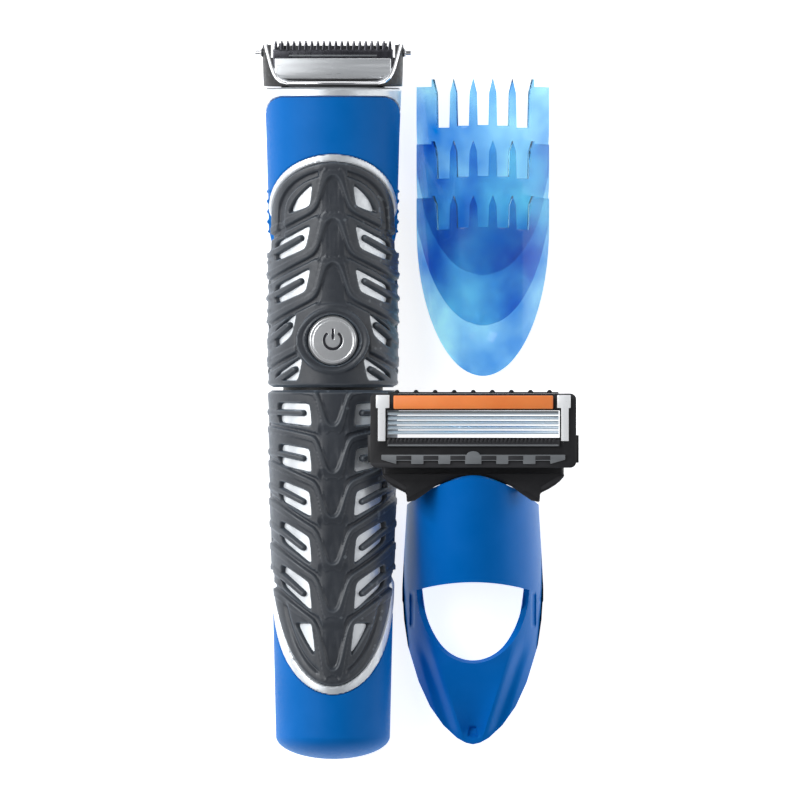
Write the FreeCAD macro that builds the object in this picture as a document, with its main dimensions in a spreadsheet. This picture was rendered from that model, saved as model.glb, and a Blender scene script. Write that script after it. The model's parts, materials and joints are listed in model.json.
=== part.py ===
import FreeCAD, Part
import math
import os
from FreeCAD import Matrix, Placement, Rotation, Vector

# Body groomer kit lying on a table: handle with trimmer head, three nested guide
# combs, and a razor adapter with its cartridge.  +Z is up, +Y runs from the
# rounded end of the handle to its blade, all sizes in millimetres.

SIZES = [
    ("kit_width", 64.6), ("kit_length", 143.6),
    ("half_depth", 12.0), ("grip_half_width", 12.9), ("shoulder_half_width", 13.3),
    ("collar_half_width", 13.75), ("waist_half_width", 12.2), ("tail_half_width", 11.4),
    ("skin_thickness", 1.3), ("core_thickness", 1.2), ("layer_gap", 0.05),
    ("fit_gap", 0.35), ("split_y", 2.25), ("split_gap", 0.6),
    ("collar_top", 62.4), ("collar_height", 1.9), ("rim_width", 1.3),
    ("upper_arch_y", 37.7), ("upper_arch_half_width", 12.4), ("upper_arch_rise", 9.9),
    ("lower_arch_y", -34.2), ("lower_arch_half_width", 12.0), ("lower_arch_rise", 23.0),
    ("end_dome_length", 4.6), ("rib_height", 0.45), ("pad_depth", 0.5),
    ("button_y", 11.9), ("button_radius", 4.9), ("button_travel", 0.5),
    ("button_ring_radius", 6.7), ("button_proud", 0.3),
    ("cell_radius", 7.25), ("cell_length", 50.5), ("cradle_wall", 0.85),
    ("motor_radius", 6.0), ("motor_length", 22.0), ("motor_y", 30.0), ("can_wall", 0.6),
    ("shaft_radius", 0.75), ("crank_throw", 0.9), ("crank_pin_radius", 0.75),
    ("hub_radius", 2.4), ("running_gap", 0.05),
    ("head_half_width", 14.1), ("head_tip_half_depth", 7.0), ("head_wall", 1.2),
    ("tooth_pitch", 1.19), ("tooth_length", 1.7), ("blade_half_width", 12.0),
    ("blade_thickness", 0.7), ("comb_pin_radius", 0.55), ("comb_pin_reach", 15.6),
    ("comb_pin_root_radius", 0.8), ("comb_pin_flange_radius", 0.95),
    ("comb_pin_flange", 0.4), ("comb_pin_from_tip", 2.3), ("blade_z", 4.5),
    ("comb_half_width", 13.3), ("comb_height", 11.0), ("comb_thickness", 1.8),
    ("comb_gap", 0.62), ("comb_slope", 0.2), ("comb_body_length", 29.8),
    ("comb_step", 10.2), ("comb_tooth_pitch", 3.9), ("comb_slot_width", 2.1),
    ("short_comb_root_y", 34.6), ("ear_width", 3.0),
    ("short_tooth", 6.2), ("medium_tooth", 7.0), ("long_tooth", 9.2),
    ("adapter_half_width", 14.2), ("adapter_height", 24.0), ("adapter_wall", 1.5),
    ("adapter_top_z", 29.0), ("adapter_slope", 0.45), ("hood_top_y", -15.5),
    ("hood_arch_drop", 5.4), ("adapter_wide_y", -39.8), ("adapter_tip_y", -69.1),
    ("window_top_y", -36.6), ("window_bottom_y", -53.0), ("window_half_width", 11.0),
    ("cartridge_half_width", 20.5), ("wing_step", 0.5), ("cartridge_top_y", 1.3),
    ("cartridge_bottom_y", -13.5), ("cartridge_z", 24.0), ("cartridge_depth", 5.0),
    ("cartridge_wall", 1.2), ("razor_blade_pitch", 0.97), ("razor_blade_half_width", 17.0),
    ("pivot_y", -9.0), ("pivot_z", 26.0), ("pivot_radius", 0.8), ("arm_offset", 7.6),
    ("yoke_front_y", -14.75), ("yoke_half_width", 13.4), ("tongue_half_width", 5.9),
]

PLACES = [
    ("handle_x", "=-dims.kit_width / 2 + dims.comb_pin_reach"),
    ("razor_x", "=dims.kit_width / 2 - dims.cartridge_half_width - dims.wing_step"),
    ("comb_x", "=razor_x + 2"),
    ("blade_tip_y", "=dims.kit_length / 2"),
    ("dome_end_y", "=-dims.kit_length / 2"),
    ("tail_y", "=dome_end_y + dims.end_dome_length"),
    ("cover_top_y", "=dims.split_y - dims.split_gap / 2"),
    ("upper_bottom_y", "=dims.split_y + dims.split_gap / 2"),
    ("head_y", "=dims.collar_top + dims.fit_gap"),
    ("core_inset", "=dims.skin_thickness + dims.core_thickness"),
    ("cradle_radius", "=dims.cell_radius + 0.2 + dims.cradle_wall"),
    ("cell_top_y", "=-10"),
    ("cell_bottom_y", "=cell_top_y - dims.cell_length"),
    ("board_z", "=3.2"),
    ("switch_top_z", "=8"),
]

doc = FreeCAD.newDocument("body_groomer_kit")
nodes = {}


def fill_sheet(name, rows):
    sheet = doc.addObject("Spreadsheet::Sheet", name)
    for row, (alias, value) in enumerate(rows, start=1):
        sheet.set("A%d" % row, alias)
        sheet.set("B%d" % row, str(value))
        sheet.setAlias("B%d" % row, alias)
    doc.recompute()
    return sheet


dims = fill_sheet("dims", SIZES)
places = fill_sheet("places", PLACES)


def size(alias):
    return float(dims.get(alias))


def place(alias):
    return float(places.get(alias))


# ---------------------------------------------------------------- helpers

def node(name, item):
    item.Label = name
    nodes[name] = item
    return item


def shaped(name, shape, origin, rotation=Rotation()):
    """A node whose curved shape is built by functions, then placed at its origin."""
    item = doc.addObject("Part::Feature", name)
    item.Shape = shape
    item.Placement = Placement(origin, rotation)
    return node(name, item)


def handle_origin():
    return Vector(place("handle_x"), 0, size("half_depth"))


def razor_origin():
    return Vector(place("razor_x"), 0, 0)


def block(name, centre_x, width, low_y, length, low_z, depth):
    """Part box centred on centre_x; every argument is a sheet expression."""
    item = doc.addObject("Part::Box", name)
    item.setExpression("Length", width)
    item.setExpression("Width", length)
    item.setExpression("Height", depth)
    item.setExpression("Placement.Base.x", "%s - (%s) / 2" % (centre_x, width))
    item.setExpression("Placement.Base.y", low_y)
    item.setExpression("Placement.Base.z", low_z)
    return item


def rod(name, radius, length, x, y, z, axis):
    """Part cylinder starting at x, y, z and running along axis."""
    item = doc.addObject("Part::Cylinder", name)
    item.setExpression("Radius", radius)
    item.setExpression("Height", length)
    item.Placement = Placement(Vector(), Rotation(Vector(0, 0, 1), axis))
    item.setExpression("Placement.Base.x", x)
    item.setExpression("Placement.Base.y", y)
    item.setExpression("Placement.Base.z", z)
    return item


def cut(name, base, tool):
    item = doc.addObject("Part::Cut", name)
    item.Base = base
    item.Tool = tool
    return item


def fuse(name, *pieces):
    item = doc.addObject("Part::MultiFuse", name)
    item.Shapes = list(pieces)
    return item


def slab(x_low, x_high, y_low, y_high, z_low, z_high):
    return Part.makeBox(x_high - x_low, y_high - y_low, z_high - z_low,
                        Vector(x_low, y_low, z_low))


def centred_slab(half_width, y_low, y_high, z_low, z_high):
    return slab(-half_width, half_width, y_low, y_high, z_low, z_high)


def y_rod(radius, y_low, y_high, x=0.0, z=0.0):
    return Part.makeCylinder(radius, y_high - y_low, Vector(x, y_low, z), Vector(0, 1, 0))


def prism(points, z_low, z_high):
    """Straight-sided plan outline raised from z_low to z_high."""
    corners = [Vector(x, y, z_low) for x, y in points]
    face = Part.Face(Part.makePolygon(corners + corners[:1]))
    return face.extrude(Vector(0, 0, z_high - z_low))


def oval_ring(y, half_width, half_depth):
    points = []
    for step in range(16):
        angle = 2 * math.pi * step / 16
        points.append(Vector(half_width * math.cos(angle), y, half_depth * math.sin(angle)))
    curve = Part.BSplineCurve()
    curve.interpolate(points, True)
    return Part.Wire(curve.toShape())


def oval_loft(sections, inset=0.0, low_y=None, high_y=None):
    """Solid through oval sections (y, half width, half depth), shrunk by inset."""
    rings = [oval_ring(y, w - inset, d - inset) for y, w, d in sections]
    solid = Part.makeLoft(rings, True, False)
    if low_y is None and high_y is None:
        return solid
    bottom = low_y if low_y is not None else sections[0][0]
    top = high_y if high_y is not None else sections[-1][0]
    return solid.common(centred_slab(40, bottom, top, -40, 40))


def upper_sections():
    depth = size("half_depth")
    low = place("upper_bottom_y") - 12
    return [
        (low, size("grip_half_width"), depth),
        (size("upper_arch_y"), size("grip_half_width"), depth),
        (size("upper_arch_y") + 15, size("shoulder_half_width"), depth),
        (size("collar_top") + 1, size("collar_half_width") + 0.05, depth),
    ]


def lower_sections():
    depth = size("half_depth")
    return [
        (place("tail_y") - 1, size("tail_half_width"), depth),
        (size("lower_arch_y"), size("waist_half_width"), depth),
        (place("cover_top_y") + 12, size("grip_half_width"), depth),
    ]


def arch_region(centre_y, half_width, rise, far_y, grow):
    """Plan region under an arch, run out sideways past the handle's flanks."""
    points = []
    for step in range(13):
        angle = math.pi * step / 12
        x = (half_width + grow) * math.cos(angle)
        y = centre_y + math.copysign(1, rise) * (abs(rise) + grow) * math.sin(angle)
        points.append(Vector(x, y, -40))
    curve = Part.BSplineCurve()
    curve.interpolate(points)
    step_y = centre_y + math.copysign(1, rise) * grow
    corners = [points[-1], Vector(points[-1].x, step_y, -40), Vector(-40, step_y, -40),
               Vector(-40, far_y, -40), Vector(40, far_y, -40), Vector(40, step_y, -40),
               Vector(points[0].x, step_y, -40), points[0]]
    corners = [c for i, c in enumerate(corners) if i == 0 or (c - corners[i - 1]).Length > 1e-6]
    face = Part.Face(Part.Wire([curve.toShape()] + Part.makePolygon(corners).Edges))
    return face.extrude(Vector(0, 0, 80))


def upper_arch(grow):
    return arch_region(size("upper_arch_y"), size("upper_arch_half_width"),
                       size("upper_arch_rise"), -30, grow)


def lower_arch(grow):
    return arch_region(size("lower_arch_y"), size("lower_arch_half_width"),
                       -size("lower_arch_rise"), 30, grow)


# ---------------------------------------------------------------- grip pattern

def mirrored(points):
    return [(-x, y) for x, y in points]


def window_outline(inner, outer, top_y, height, slant, shrink):
    return [(inner + shrink, top_y - shrink), (outer - shrink, top_y + slant - shrink),
            (outer - shrink, top_y + slant - height + shrink),
            (inner + shrink, top_y - height + shrink)]


def upper_windows(shrink):
    rows = []
    for row in range(4):
        inner = 7.6 if abs(34.4 - 8.7 * row - 3 - size("button_y")) < 6 else 4.6
        rows.append(window_outline(inner, 10.8, 34.8 - 8.7 * row, 5.2, -0.9, shrink))
    rows.append([(4.3 + shrink, 42.6 - shrink), (8.4 - 2 * shrink, 37.8 + shrink),
                 (4.3 + shrink, 37.8 + shrink)])
    return rows


def lower_windows(shrink):
    rows = []
    for row in range(5):
        outer = 10.7 - 0.3 * row
        rows.append(window_outline(4.4, outer, -1.3 - 8.0 * row, 4.6 + 0.75 * row,
                                   0.25 * row, shrink))
    rows.append([(4.2 + shrink, -44.8 - shrink), (7.2 - 2 * shrink, -44.8 - shrink),
                 (4.2 + shrink, -50.2 + 2 * shrink)])
    return rows


def raised_windows(rows):
    """Front-face prisms for each window and its mirror image."""
    solids = []
    for outline in rows:
        solids.append(prism(outline, 0.5, 20))
        solids.append(prism(mirrored(outline), 0.5, 20))
    return solids


def chevron(apex_y, shoulder_x, shoulder_y, end_x, end_y, half_height):
    """Plan outline of one bent rib across the grip."""
    top = [(-end_x, end_y), (-shoulder_x, shoulder_y), (0, apex_y),
           (shoulder_x, shoulder_y), (end_x, end_y)]
    upper_line = [(x, y + half_height) for x, y in top]
    lower_line = [(x, y - half_height) for x, y in reversed(top)]
    return upper_line + lower_line


def upper_ribs():
    ribs = []
    for row in range(3):
        apex = 45.2 - 8.9 * row
        ribs.append(chevron(apex, 3.5, apex - 8.0, 11.6, apex - 11.6, 0.8))
    return ribs


def lower_ribs():
    ribs = []
    for row in range(6):
        shoulder = 0.2 - 8.9 * row
        ribs.append(chevron(shoulder - 7.4, 4.4, shoulder, 11.2, shoulder + 1.1 * row, 0.8))
    return ribs


def rib_solid(sections, ribs, limit):
    """Ribs standing rib_height above the grip, on the front face only."""
    band = oval_loft(sections, -size("rib_height")).cut(oval_loft(sections, 0.3))
    tools = [prism(outline, 2.0, 20) for outline in ribs]
    return Part.makeCompound(tools).common(band).common(limit)


# ---------------------------------------------------------------- handle, upper half

def button_hole():
    radius = size("button_radius") + size("fit_gap")
    return Part.makeCylinder(radius, 20, Vector(0, size("button_y"), 2), Vector(0, 0, 1))


def skin_zone(sections, low_y, high_y):
    outer = oval_loft(sections, 0.0, low_y, high_y)
    return outer.cut(oval_loft(sections, size("skin_thickness")))


def rim_zone(sections, low_y, high_y):
    """Like skin_zone, but deep enough to join the core beneath."""
    outer = oval_loft(sections, 0.0, low_y, high_y)
    return outer.cut(oval_loft(sections, size("skin_thickness") + 0.3))


def make_upper_core():
    low = place("upper_bottom_y")
    high = size("collar_top")
    sections = upper_sections()
    shell = oval_loft(sections, size("skin_thickness") + size("layer_gap"), low, high)
    zone = rim_zone(sections, low, high)
    collar = oval_loft(sections, 0.0, high - size("collar_height"), high)
    collar = collar.cut(oval_loft(sections, size("skin_thickness") + 0.5))
    rim = zone.common(upper_arch(size("rim_width")).cut(upper_arch(0.0)))
    rim = rim.cut(slab(-40, 40, -10, size("upper_arch_y") - 1.0, -40, 40))
    band = oval_loft(sections, size("pad_depth")).cut(oval_loft(sections, 2.0))
    pads = Part.makeCompound(raised_windows(upper_windows(0.1))).common(band)
    pads = pads.common(slab(-40, 40, low, high, -40, 40))
    whole = shell.multiFuse([collar, rim] + pads.Solids)
    whole = whole.cut(oval_loft(sections, place("core_inset"))).cut(button_hole())
    return shaped("upper_core", whole, handle_origin())


def make_upper_blue_shell():
    sections = upper_sections()
    top = size("collar_top") - size("collar_height") - size("layer_gap")
    zone = skin_zone(sections, place("upper_bottom_y"), top)
    shell = zone.cut(upper_arch(size("rim_width") + size("layer_gap")))
    return shaped("upper_blue_shell", shell, handle_origin())


def make_upper_grip():
    sections = upper_sections()
    low = place("upper_bottom_y")
    zone = skin_zone(sections, low, 60).common(upper_arch(-size("layer_gap")))
    zone = zone.cut(Part.makeCompound(raised_windows(upper_windows(0.0))))
    limit = upper_arch(-1.0).common(slab(-40, 40, low + 0.5, 60, -40, 40))
    ribs = rib_solid(sections, upper_ribs(), limit)
    ring = Part.makeCylinder(size("button_ring_radius"), 20, Vector(0, size("button_y"), 2))
    ring = ring.common(oval_loft(sections, -size("rib_height")).cut(oval_loft(sections, 0.3)))
    whole = zone.multiFuse(ribs.Solids + ring.Solids)
    whole = whole.cut(Part.makeCompound(raised_windows(upper_windows(0.0))))
    whole = whole.cut(button_hole())
    biggest = max(whole.Solids, key=lambda solid: solid.Volume)
    return shaped("upper_grip", biggest, handle_origin())


def make_inner_frame():
    """Tray under the board, motor ring and bulkhead in one moulding."""
    sections = upper_sections()
    inset = place("core_inset") + size("layer_gap")
    tray = centred_slab(6.6, -7.0, 32, 1.0, 3.15)
    ring = oval_loft(sections, inset, size("motor_y") + 1.5, size("motor_y") + 8)
    ring = ring.cut(y_rod(size("motor_radius") + size("layer_gap"), 0, 60))
    frame = tray.fuse(ring)
    frame = frame.cut(y_rod(size("motor_radius") + size("layer_gap"), size("motor_y") - 0.5, 60))
    return shaped("inner_frame", frame, handle_origin())


def make_neck_ring():
    """Plug joining the halves: tight in the upper half, clear of the cover."""
    sections = upper_sections()
    inset = place("core_inset")
    upper = oval_loft(sections, inset + size("layer_gap"), place("upper_bottom_y"), 9)
    lower = oval_loft(sections, inset + size("fit_gap"), -7.5, place("upper_bottom_y"))
    bore = y_rod(place("cradle_radius") + size("layer_gap"), -20, 20)
    groove = oval_loft(sections, inset, -3.6, -2.2).cut(oval_loft(sections, inset + 0.9))
    return shaped("neck_ring", upper.fuse(lower).cut(bore).cut(groove), handle_origin())


def make_neck_seal():
    sections = upper_sections()
    inset = place("core_inset")
    ring = oval_loft(sections, inset + size("fit_gap") - 0.03, -3.5, -2.3)
    return shaped("neck_seal", ring.cut(oval_loft(sections, inset + 0.85)), handle_origin())


def make_battery_cradle():
    radius = place("cradle_radius")
    low = place("cell_bottom_y") - 4.8
    tube = y_rod(radius, low, 6)
    tube = tube.cut(y_rod(size("cell_radius") + 0.2, low + 1.2, place("cell_top_y") + 0.6))
    tube = tube.cut(y_rod(size("cell_radius") + 0.2, place("cell_top_y") + 2, 10))
    opening = centred_slab(7.0, low + 4, place("cell_top_y") - 2, 2.5, 20)
    tray_slot = centred_slab(6.65, place("cell_top_y") + 2.9, 20, 0.95, 3.2)
    board_slot = centred_slab(7.2, 2, 20, 0.5, 20)
    return shaped("battery_cradle", tube.cut(opening).cut(tray_slot).cut(board_slot),
                  handle_origin())


def make_battery_cell():
    can = rod("cell_can", "dims.cell_radius", "dims.cell_length - 1", "places.handle_x",
              "places.cell_bottom_y", "dims.half_depth", Vector(0, 1, 0))
    nub = rod("cell_nub", "2.7", "1", "places.handle_x", "places.cell_top_y - 1",
              "dims.half_depth", Vector(0, 1, 0))
    return node("battery_cell", fuse("battery_cell", can, nub))


def make_positive_contact():
    item = rod("positive_contact", "4.2", "0.5", "places.handle_x",
               "places.cell_top_y + 0.05", "dims.half_depth", Vector(0, 1, 0))
    return node("positive_contact", item)


def make_negative_spring():
    """Conical wire spring behind the cell, as three joined rings."""
    length = 3.4
    wire_radius = 0.28
    rings = []
    for turn, radius in enumerate((5.2, 4.5, 3.8)):
        rings.append(Part.makeTorus(radius, wire_radius, Vector(0, 0, 1.15 * turn)))
        if turn:
            start = Vector(radius + 0.7, 0, 1.15 * (turn - 1))
            step = Vector(-0.7, 0, 1.15)
            rings.append(Part.makeCylinder(wire_radius * 0.8, step.Length, start, step))
    spring = rings[0].multiFuse(rings[1:])
    origin = handle_origin() + Vector(0, place("cell_bottom_y") - length + wire_radius, 0)
    return shaped("negative_spring", spring, origin, Rotation(Vector(1, 0, 0), -90))


def make_contact_strip():
    item = block("contact_strip", "places.handle_x", "3.2",
                 "places.cell_bottom_y - 4", "dims.cell_length + 4 - 0.5 + 1.8",
                 "dims.half_depth - places.cradle_radius - 0.4", "0.35")
    return node("contact_strip", item)


def make_circuit_board():
    board = block("board_plate", "places.handle_x", "13", "3.4", "23",
                  "dims.half_depth + places.board_z", "1")
    chip = block("board_chip", "places.handle_x + 1.5", "5", "18.5", "5",
                 "dims.half_depth + places.board_z + 1", "1.2")
    return node("circuit_board", fuse("circuit_board", board, chip))


def make_tact_switch():
    case = block("switch_case", "places.handle_x", "6", "dims.button_y - 3", "6",
                 "dims.half_depth + places.board_z + 1.02", "3.2")
    stem = rod("switch_stem", "1.6", "places.switch_top_z - places.board_z - 4.22",
               "places.handle_x", "dims.button_y",
               "dims.half_depth + places.board_z + 4.22", Vector(0, 0, 1))
    return node("tact_switch", fuse("tact_switch", case, stem))


def make_power_button():
    cap_depth = "1.7"
    cap = rod("button_cap", "dims.button_radius", cap_depth, "places.handle_x",
              "dims.button_y", "dims.half_depth * 2 + dims.button_proud - 1.7",
              Vector(0, 0, 1))
    stem_low = "dims.half_depth + places.switch_top_z + dims.button_travel + dims.fit_gap"
    stem = rod("button_stem", "1.5", "dims.half_depth * 2 - 1 - (%s)" % stem_low,
               "places.handle_x", "dims.button_y", stem_low, Vector(0, 0, 1))
    return node("power_button", fuse("power_button", cap, stem))


def make_motor_can():
    low = "dims.motor_y"
    outer = rod("can_outer", "dims.motor_radius", "dims.motor_length", "places.handle_x",
                low, "dims.half_depth", Vector(0, 1, 0))
    inner = rod("can_inner", "dims.motor_radius - dims.can_wall",
                "dims.motor_length - dims.can_wall", "places.handle_x", low,
                "dims.half_depth", Vector(0, 1, 0))
    bore = rod("can_bore", "dims.shaft_radius + dims.running_gap", "dims.motor_length + 2",
               "places.handle_x", low, "dims.half_depth", Vector(0, 1, 0))
    return node("motor_can", cut("motor_can", outer, fuse("can_tools", inner, bore)))


def make_motor_end_cap():
    disc = rod("end_disc", "dims.motor_radius - dims.can_wall - dims.layer_gap", "1.5",
               "places.handle_x", "dims.motor_y", "dims.half_depth", Vector(0, 1, 0))
    tabs = block("end_tabs", "places.handle_x", "7", "dims.motor_y - 2", "2",
                 "dims.half_depth - 3", "0.6")
    return node("motor_end_cap", fuse("motor_end_cap", disc, tabs))


def make_rotor_core():
    item = rod("rotor_core", "dims.motor_radius - 1.6", "dims.motor_length - 5",
               "places.handle_x", "dims.motor_y + 2.4", "dims.half_depth", Vector(0, 1, 0))
    bore = rod("rotor_bore", "dims.shaft_radius", "dims.motor_length", "places.handle_x",
               "dims.motor_y", "dims.half_depth", Vector(0, 1, 0))
    return node("rotor_core", cut("rotor_core", item, bore))


def make_rotor_shaft():
    item = rod("rotor_shaft", "dims.shaft_radius", "dims.motor_length + 0.5",
               "places.handle_x", "dims.motor_y + 2", "dims.half_depth", Vector(0, 1, 0))
    return node("rotor_shaft", item)


def make_crank_hub():
    """Hub on the motor shaft carrying the off-centre pin that drives the cutter."""
    top = size("motor_y") + size("motor_length")
    hub = y_rod(size("hub_radius"), top + 1.2, top + 4.4)
    hub = hub.cut(y_rod(size("shaft_radius"), top, top + 2.5))
    pin = y_rod(size("crank_pin_radius"), top + 4.4, top + 8.2, size("crank_throw"))
    return shaped("crank_hub", hub.fuse(pin), handle_origin())


def make_head_seat():
    top = size("motor_y") + size("motor_length")
    seat = oval_loft(upper_sections(), place("core_inset") + size("layer_gap"),
                     top + 1.5, top + 3.5)
    seat = seat.cut(y_rod(size("hub_radius") + size("fit_gap"), top, top + 6))
    return shaped("head_seat", seat, handle_origin())


# ---------------------------------------------------------------- battery cover

def make_lower_core():
    sections = lower_sections()
    low = place("tail_y") + size("layer_gap")
    high = place("cover_top_y")
    shell = oval_loft(sections, size("skin_thickness") + size("layer_gap"), low, high)
    zone = rim_zone(sections, low, high)
    rim = zone.common(lower_arch(size("rim_width") + 0.3).cut(lower_arch(0.0)))
    rim = rim.cut(slab(-40, 40, size("lower_arch_y") + 1.0, 30, -40, 40))
    band = oval_loft(sections, size("pad_depth")).cut(oval_loft(sections, 2.0))
    pads = Part.makeCompound(raised_windows(lower_windows(0.1))).common(band)
    whole = shell.multiFuse([rim] + pads.Solids)
    hollow = oval_loft(sections, place("core_inset"), low + 1.2, high + 2)
    return shaped("lower_core", whole.cut(hollow), handle_origin())


def make_lower_blue_shell():
    sections = lower_sections()
    zone = skin_zone(sections, place("tail_y") + size("layer_gap"), place("cover_top_y"))
    shell = zone.cut(lower_arch(size("rim_width") + 0.3 + size("layer_gap")))
    return shaped("lower_blue_shell", shell, handle_origin())


def make_lower_grip():
    sections = lower_sections()
    high = place("cover_top_y")
    zone = skin_zone(sections, -60, high).common(lower_arch(-size("layer_gap")))
    windows = Part.makeCompound(raised_windows(lower_windows(0.0)))
    limit = lower_arch(-1.0).common(slab(-40, 40, -60, high - 0.5, -40, 40))
    ribs = rib_solid(sections, lower_ribs(), limit)
    whole = zone.multiFuse(ribs.Solids).cut(windows)
    biggest = max(whole.Solids, key=lambda solid: solid.Volume)
    return shaped("lower_grip", biggest, handle_origin())


def make_end_cap():
    dome = Part.makeSphere(1.0)
    stretch = Matrix()
    stretch.scale(size("tail_half_width"), size("end_dome_length"), size("half_depth"))
    dome = dome.transformGeometry(stretch)
    dome = dome.common(centred_slab(20, -10, 0, -20, 20))
    hollow = Matrix()
    hollow.scale(size("tail_half_width") - 2.5, size("end_dome_length") - 1.6,
                 size("half_depth") - 2.5)
    dome = dome.cut(Part.makeSphere(1.0).transformGeometry(hollow))
    return shaped("end_cap", dome, handle_origin() + Vector(0, place("tail_y"), 0))


# ---------------------------------------------------------------- trimmer head

def head_sections():
    low = place("head_y")
    return [
        (low, size("collar_half_width") + 0.1, size("half_depth")),
        (low + 3.5, size("head_half_width") - 0.1, size("half_depth") - 1.6),
        (place("blade_tip_y") - 0.8, size("head_half_width"), size("head_tip_half_depth")),
    ]


def make_head_frame():
    sections = head_sections()
    wall = size("head_wall")
    low = place("head_y")
    tip = place("blade_tip_y")
    frame = oval_loft(sections).cut(oval_loft(sections, wall))
    front_window = centred_slab(12.1, low + 1.0, tip, 2.0, 20)
    top_window = centred_slab(12.4, tip - 3.4, tip, -4.5, 20)
    pins = Part.makeCylinder(size("comb_pin_root_radius"), 3 * size("head_half_width"),
                             Vector(-1.5 * size("head_half_width"),
                                    tip - size("comb_pin_from_tip"), 0), Vector(1, 0, 0))
    return shaped("head_frame", frame.cut(front_window).cut(top_window).cut(pins),
                  handle_origin())


def make_head_base():
    sections = head_sections()
    low = place("head_y")
    gap = size("layer_gap")
    base = oval_loft(sections, size("head_wall") + gap, low, low + 1.2)
    plug = oval_loft(upper_sections(), place("core_inset") + size("fit_gap"), low - 4.4, low - 1)
    bridge = oval_loft(upper_sections(), place("core_inset") + 0.9, low - 1.2, low + 0.4)
    opening = centred_slab(5.6, low - 10, low + 10, -3.2, 3.6)
    return shaped("head_base", base.multiFuse([plug, bridge]).cut(opening), handle_origin())


def make_front_plate():
    low = "places.head_y + 1.3"
    item = block("front_plate", "places.handle_x", "23.2", low, "4.2",
                 "dims.half_depth + 5.3", "0.9")
    return node("front_plate", item)


def toothed_plate(half_width, low_y, tip_y, z_low, thickness, teeth):
    """Plate along X with a row of teeth pointing +Y."""
    pitch = size("tooth_pitch")
    plate = centred_slab(half_width, low_y, tip_y, z_low, z_low + thickness)
    root = tip_y - size("tooth_length")
    slots = []
    for number in range(teeth - 1):
        x = (number - (teeth - 2) / 2) * pitch
        slots.append(slab(x - pitch / 4, x + pitch / 4, root, tip_y + 1, z_low - 1,
                          z_low + thickness + 1))
    return plate.cut(Part.makeCompound(slots))


def make_fixed_blade():
    tip = place("blade_tip_y")
    plate = toothed_plate(size("blade_half_width"), tip - 6, tip, size("blade_z"),
                          size("blade_thickness"), 20)
    return shaped("fixed_blade", plate, handle_origin())


def make_moving_blade():
    tip = place("blade_tip_y") - 0.5
    thickness = size("blade_thickness") - 0.1
    low_z = size("blade_z") - size("fit_gap") - thickness
    plate = toothed_plate(size("blade_half_width") - 1.2, tip - 5, tip, low_z, thickness, 18)
    return shaped("moving_blade", plate, handle_origin())


def make_blade_carrier():
    """Cutter carrier with the fork that straddles the crank pin."""
    low = place("head_y")
    top_z = size("blade_z") - size("fit_gap") - size("blade_thickness") + 0.1 - 0.02
    slider = centred_slab(8.6, low + 2.3, low + 5.4, -1.5, top_z)
    slot = 2 * size("crank_throw") + size("crank_pin_radius") + size("fit_gap")
    fork = centred_slab(slot + 1.3, low - 4.6, low + 2.4, -1.5, 1.5)
    gap = centred_slab(slot, low - 5, low + 0.4, -3, 3)
    return shaped("blade_carrier", slider.fuse(fork).cut(gap), handle_origin())


def make_blade_spring():
    item = block("blade_spring", "places.handle_x", "11", "places.head_y + 1.22", "3",
                 "dims.half_depth - 2.6", "0.6")
    return node("blade_spring", item)


def make_rear_guard():
    low = place("head_y")
    tip = place("blade_tip_y")
    plate = centred_slab(9.3, low + 1.22, tip - 0.9, -3.9, -3.0)
    return shaped("rear_guard", plate, handle_origin())


def x_rod(radius, x0, x1, y):
    return Part.makeCylinder(radius, x1 - x0, Vector(x0, y, 0), Vector(1, 0, 0))


def make_comb_pin(name, side):
    """Shouldered pin: thick root in the frame, flange outside it, thin free end."""
    y = place("blade_tip_y") - size("comb_pin_from_tip")
    inner = size("head_half_width") - size("head_wall") - size("fit_gap")
    outside = size("head_half_width") + size("layer_gap") / 2
    shoulder = outside + size("comb_pin_flange")
    root = x_rod(size("comb_pin_root_radius"), inner, shoulder, y)
    flange = x_rod(size("comb_pin_flange_radius"), outside, shoulder, y)
    tip = x_rod(size("comb_pin_radius"), shoulder - 0.1, size("comb_pin_reach"), y)
    whole = root.multiFuse([flange, tip])
    if side < 0:
        whole = whole.mirror(Vector(), Vector(1, 0, 0))
    return shaped(name, whole, handle_origin())


# ---------------------------------------------------------------- guide combs

def comb_band():
    """Arched sheet falling towards the tip, long enough for every comb."""
    half = size("comb_half_width")
    height = size("comb_height")
    thickness = size("comb_thickness")
    start = 14.0
    lift = size("comb_slope") * start
    outer = []
    inner = []
    for step in range(9):
        x = half * 1.02 * (step - 4) / 4
        z = height * (1 - (x / half) ** 2) + lift
        outer.append(Vector(x, start, z + thickness))
        inner.append(Vector(x, start, z))
    top = Part.BSplineCurve()
    top.interpolate(outer)
    bottom = Part.BSplineCurve()
    bottom.interpolate(inner)
    sides = [Part.makeLine(outer[0], inner[0]), Part.makeLine(outer[-1], inner[-1])]
    face = Part.Face(Part.Wire(Part.__sortEdges__([top.toShape(), bottom.toShape()] + sides)))
    length = start + size("comb_body_length") + 4
    return face.extrude(Vector(0, -length, -length * size("comb_slope")))


def comb_outline(tooth, ear):
    """Plan solid: shield tip, straight shoulders, ears and tooth field."""
    half = size("comb_half_width")
    length = size("comb_body_length")
    points = []
    for step in range(13):
        angle = math.pi * step / 12
        points.append(Vector(half * math.cos(angle), -length * math.sin(angle), -10))
    curve = Part.BSplineCurve()
    curve.interpolate(points)
    inner = half - size("ear_width")
    corners = [points[-1], Vector(-half, ear, -10), Vector(-inner, ear, -10),
               Vector(-inner, tooth, -10), Vector(inner, tooth, -10),
               Vector(inner, ear, -10), Vector(half, ear, -10), points[0]]
    face = Part.Face(Part.Wire([curve.toShape()] + Part.makePolygon(corners).Edges))
    return face.extrude(Vector(0, 0, 40))


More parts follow.
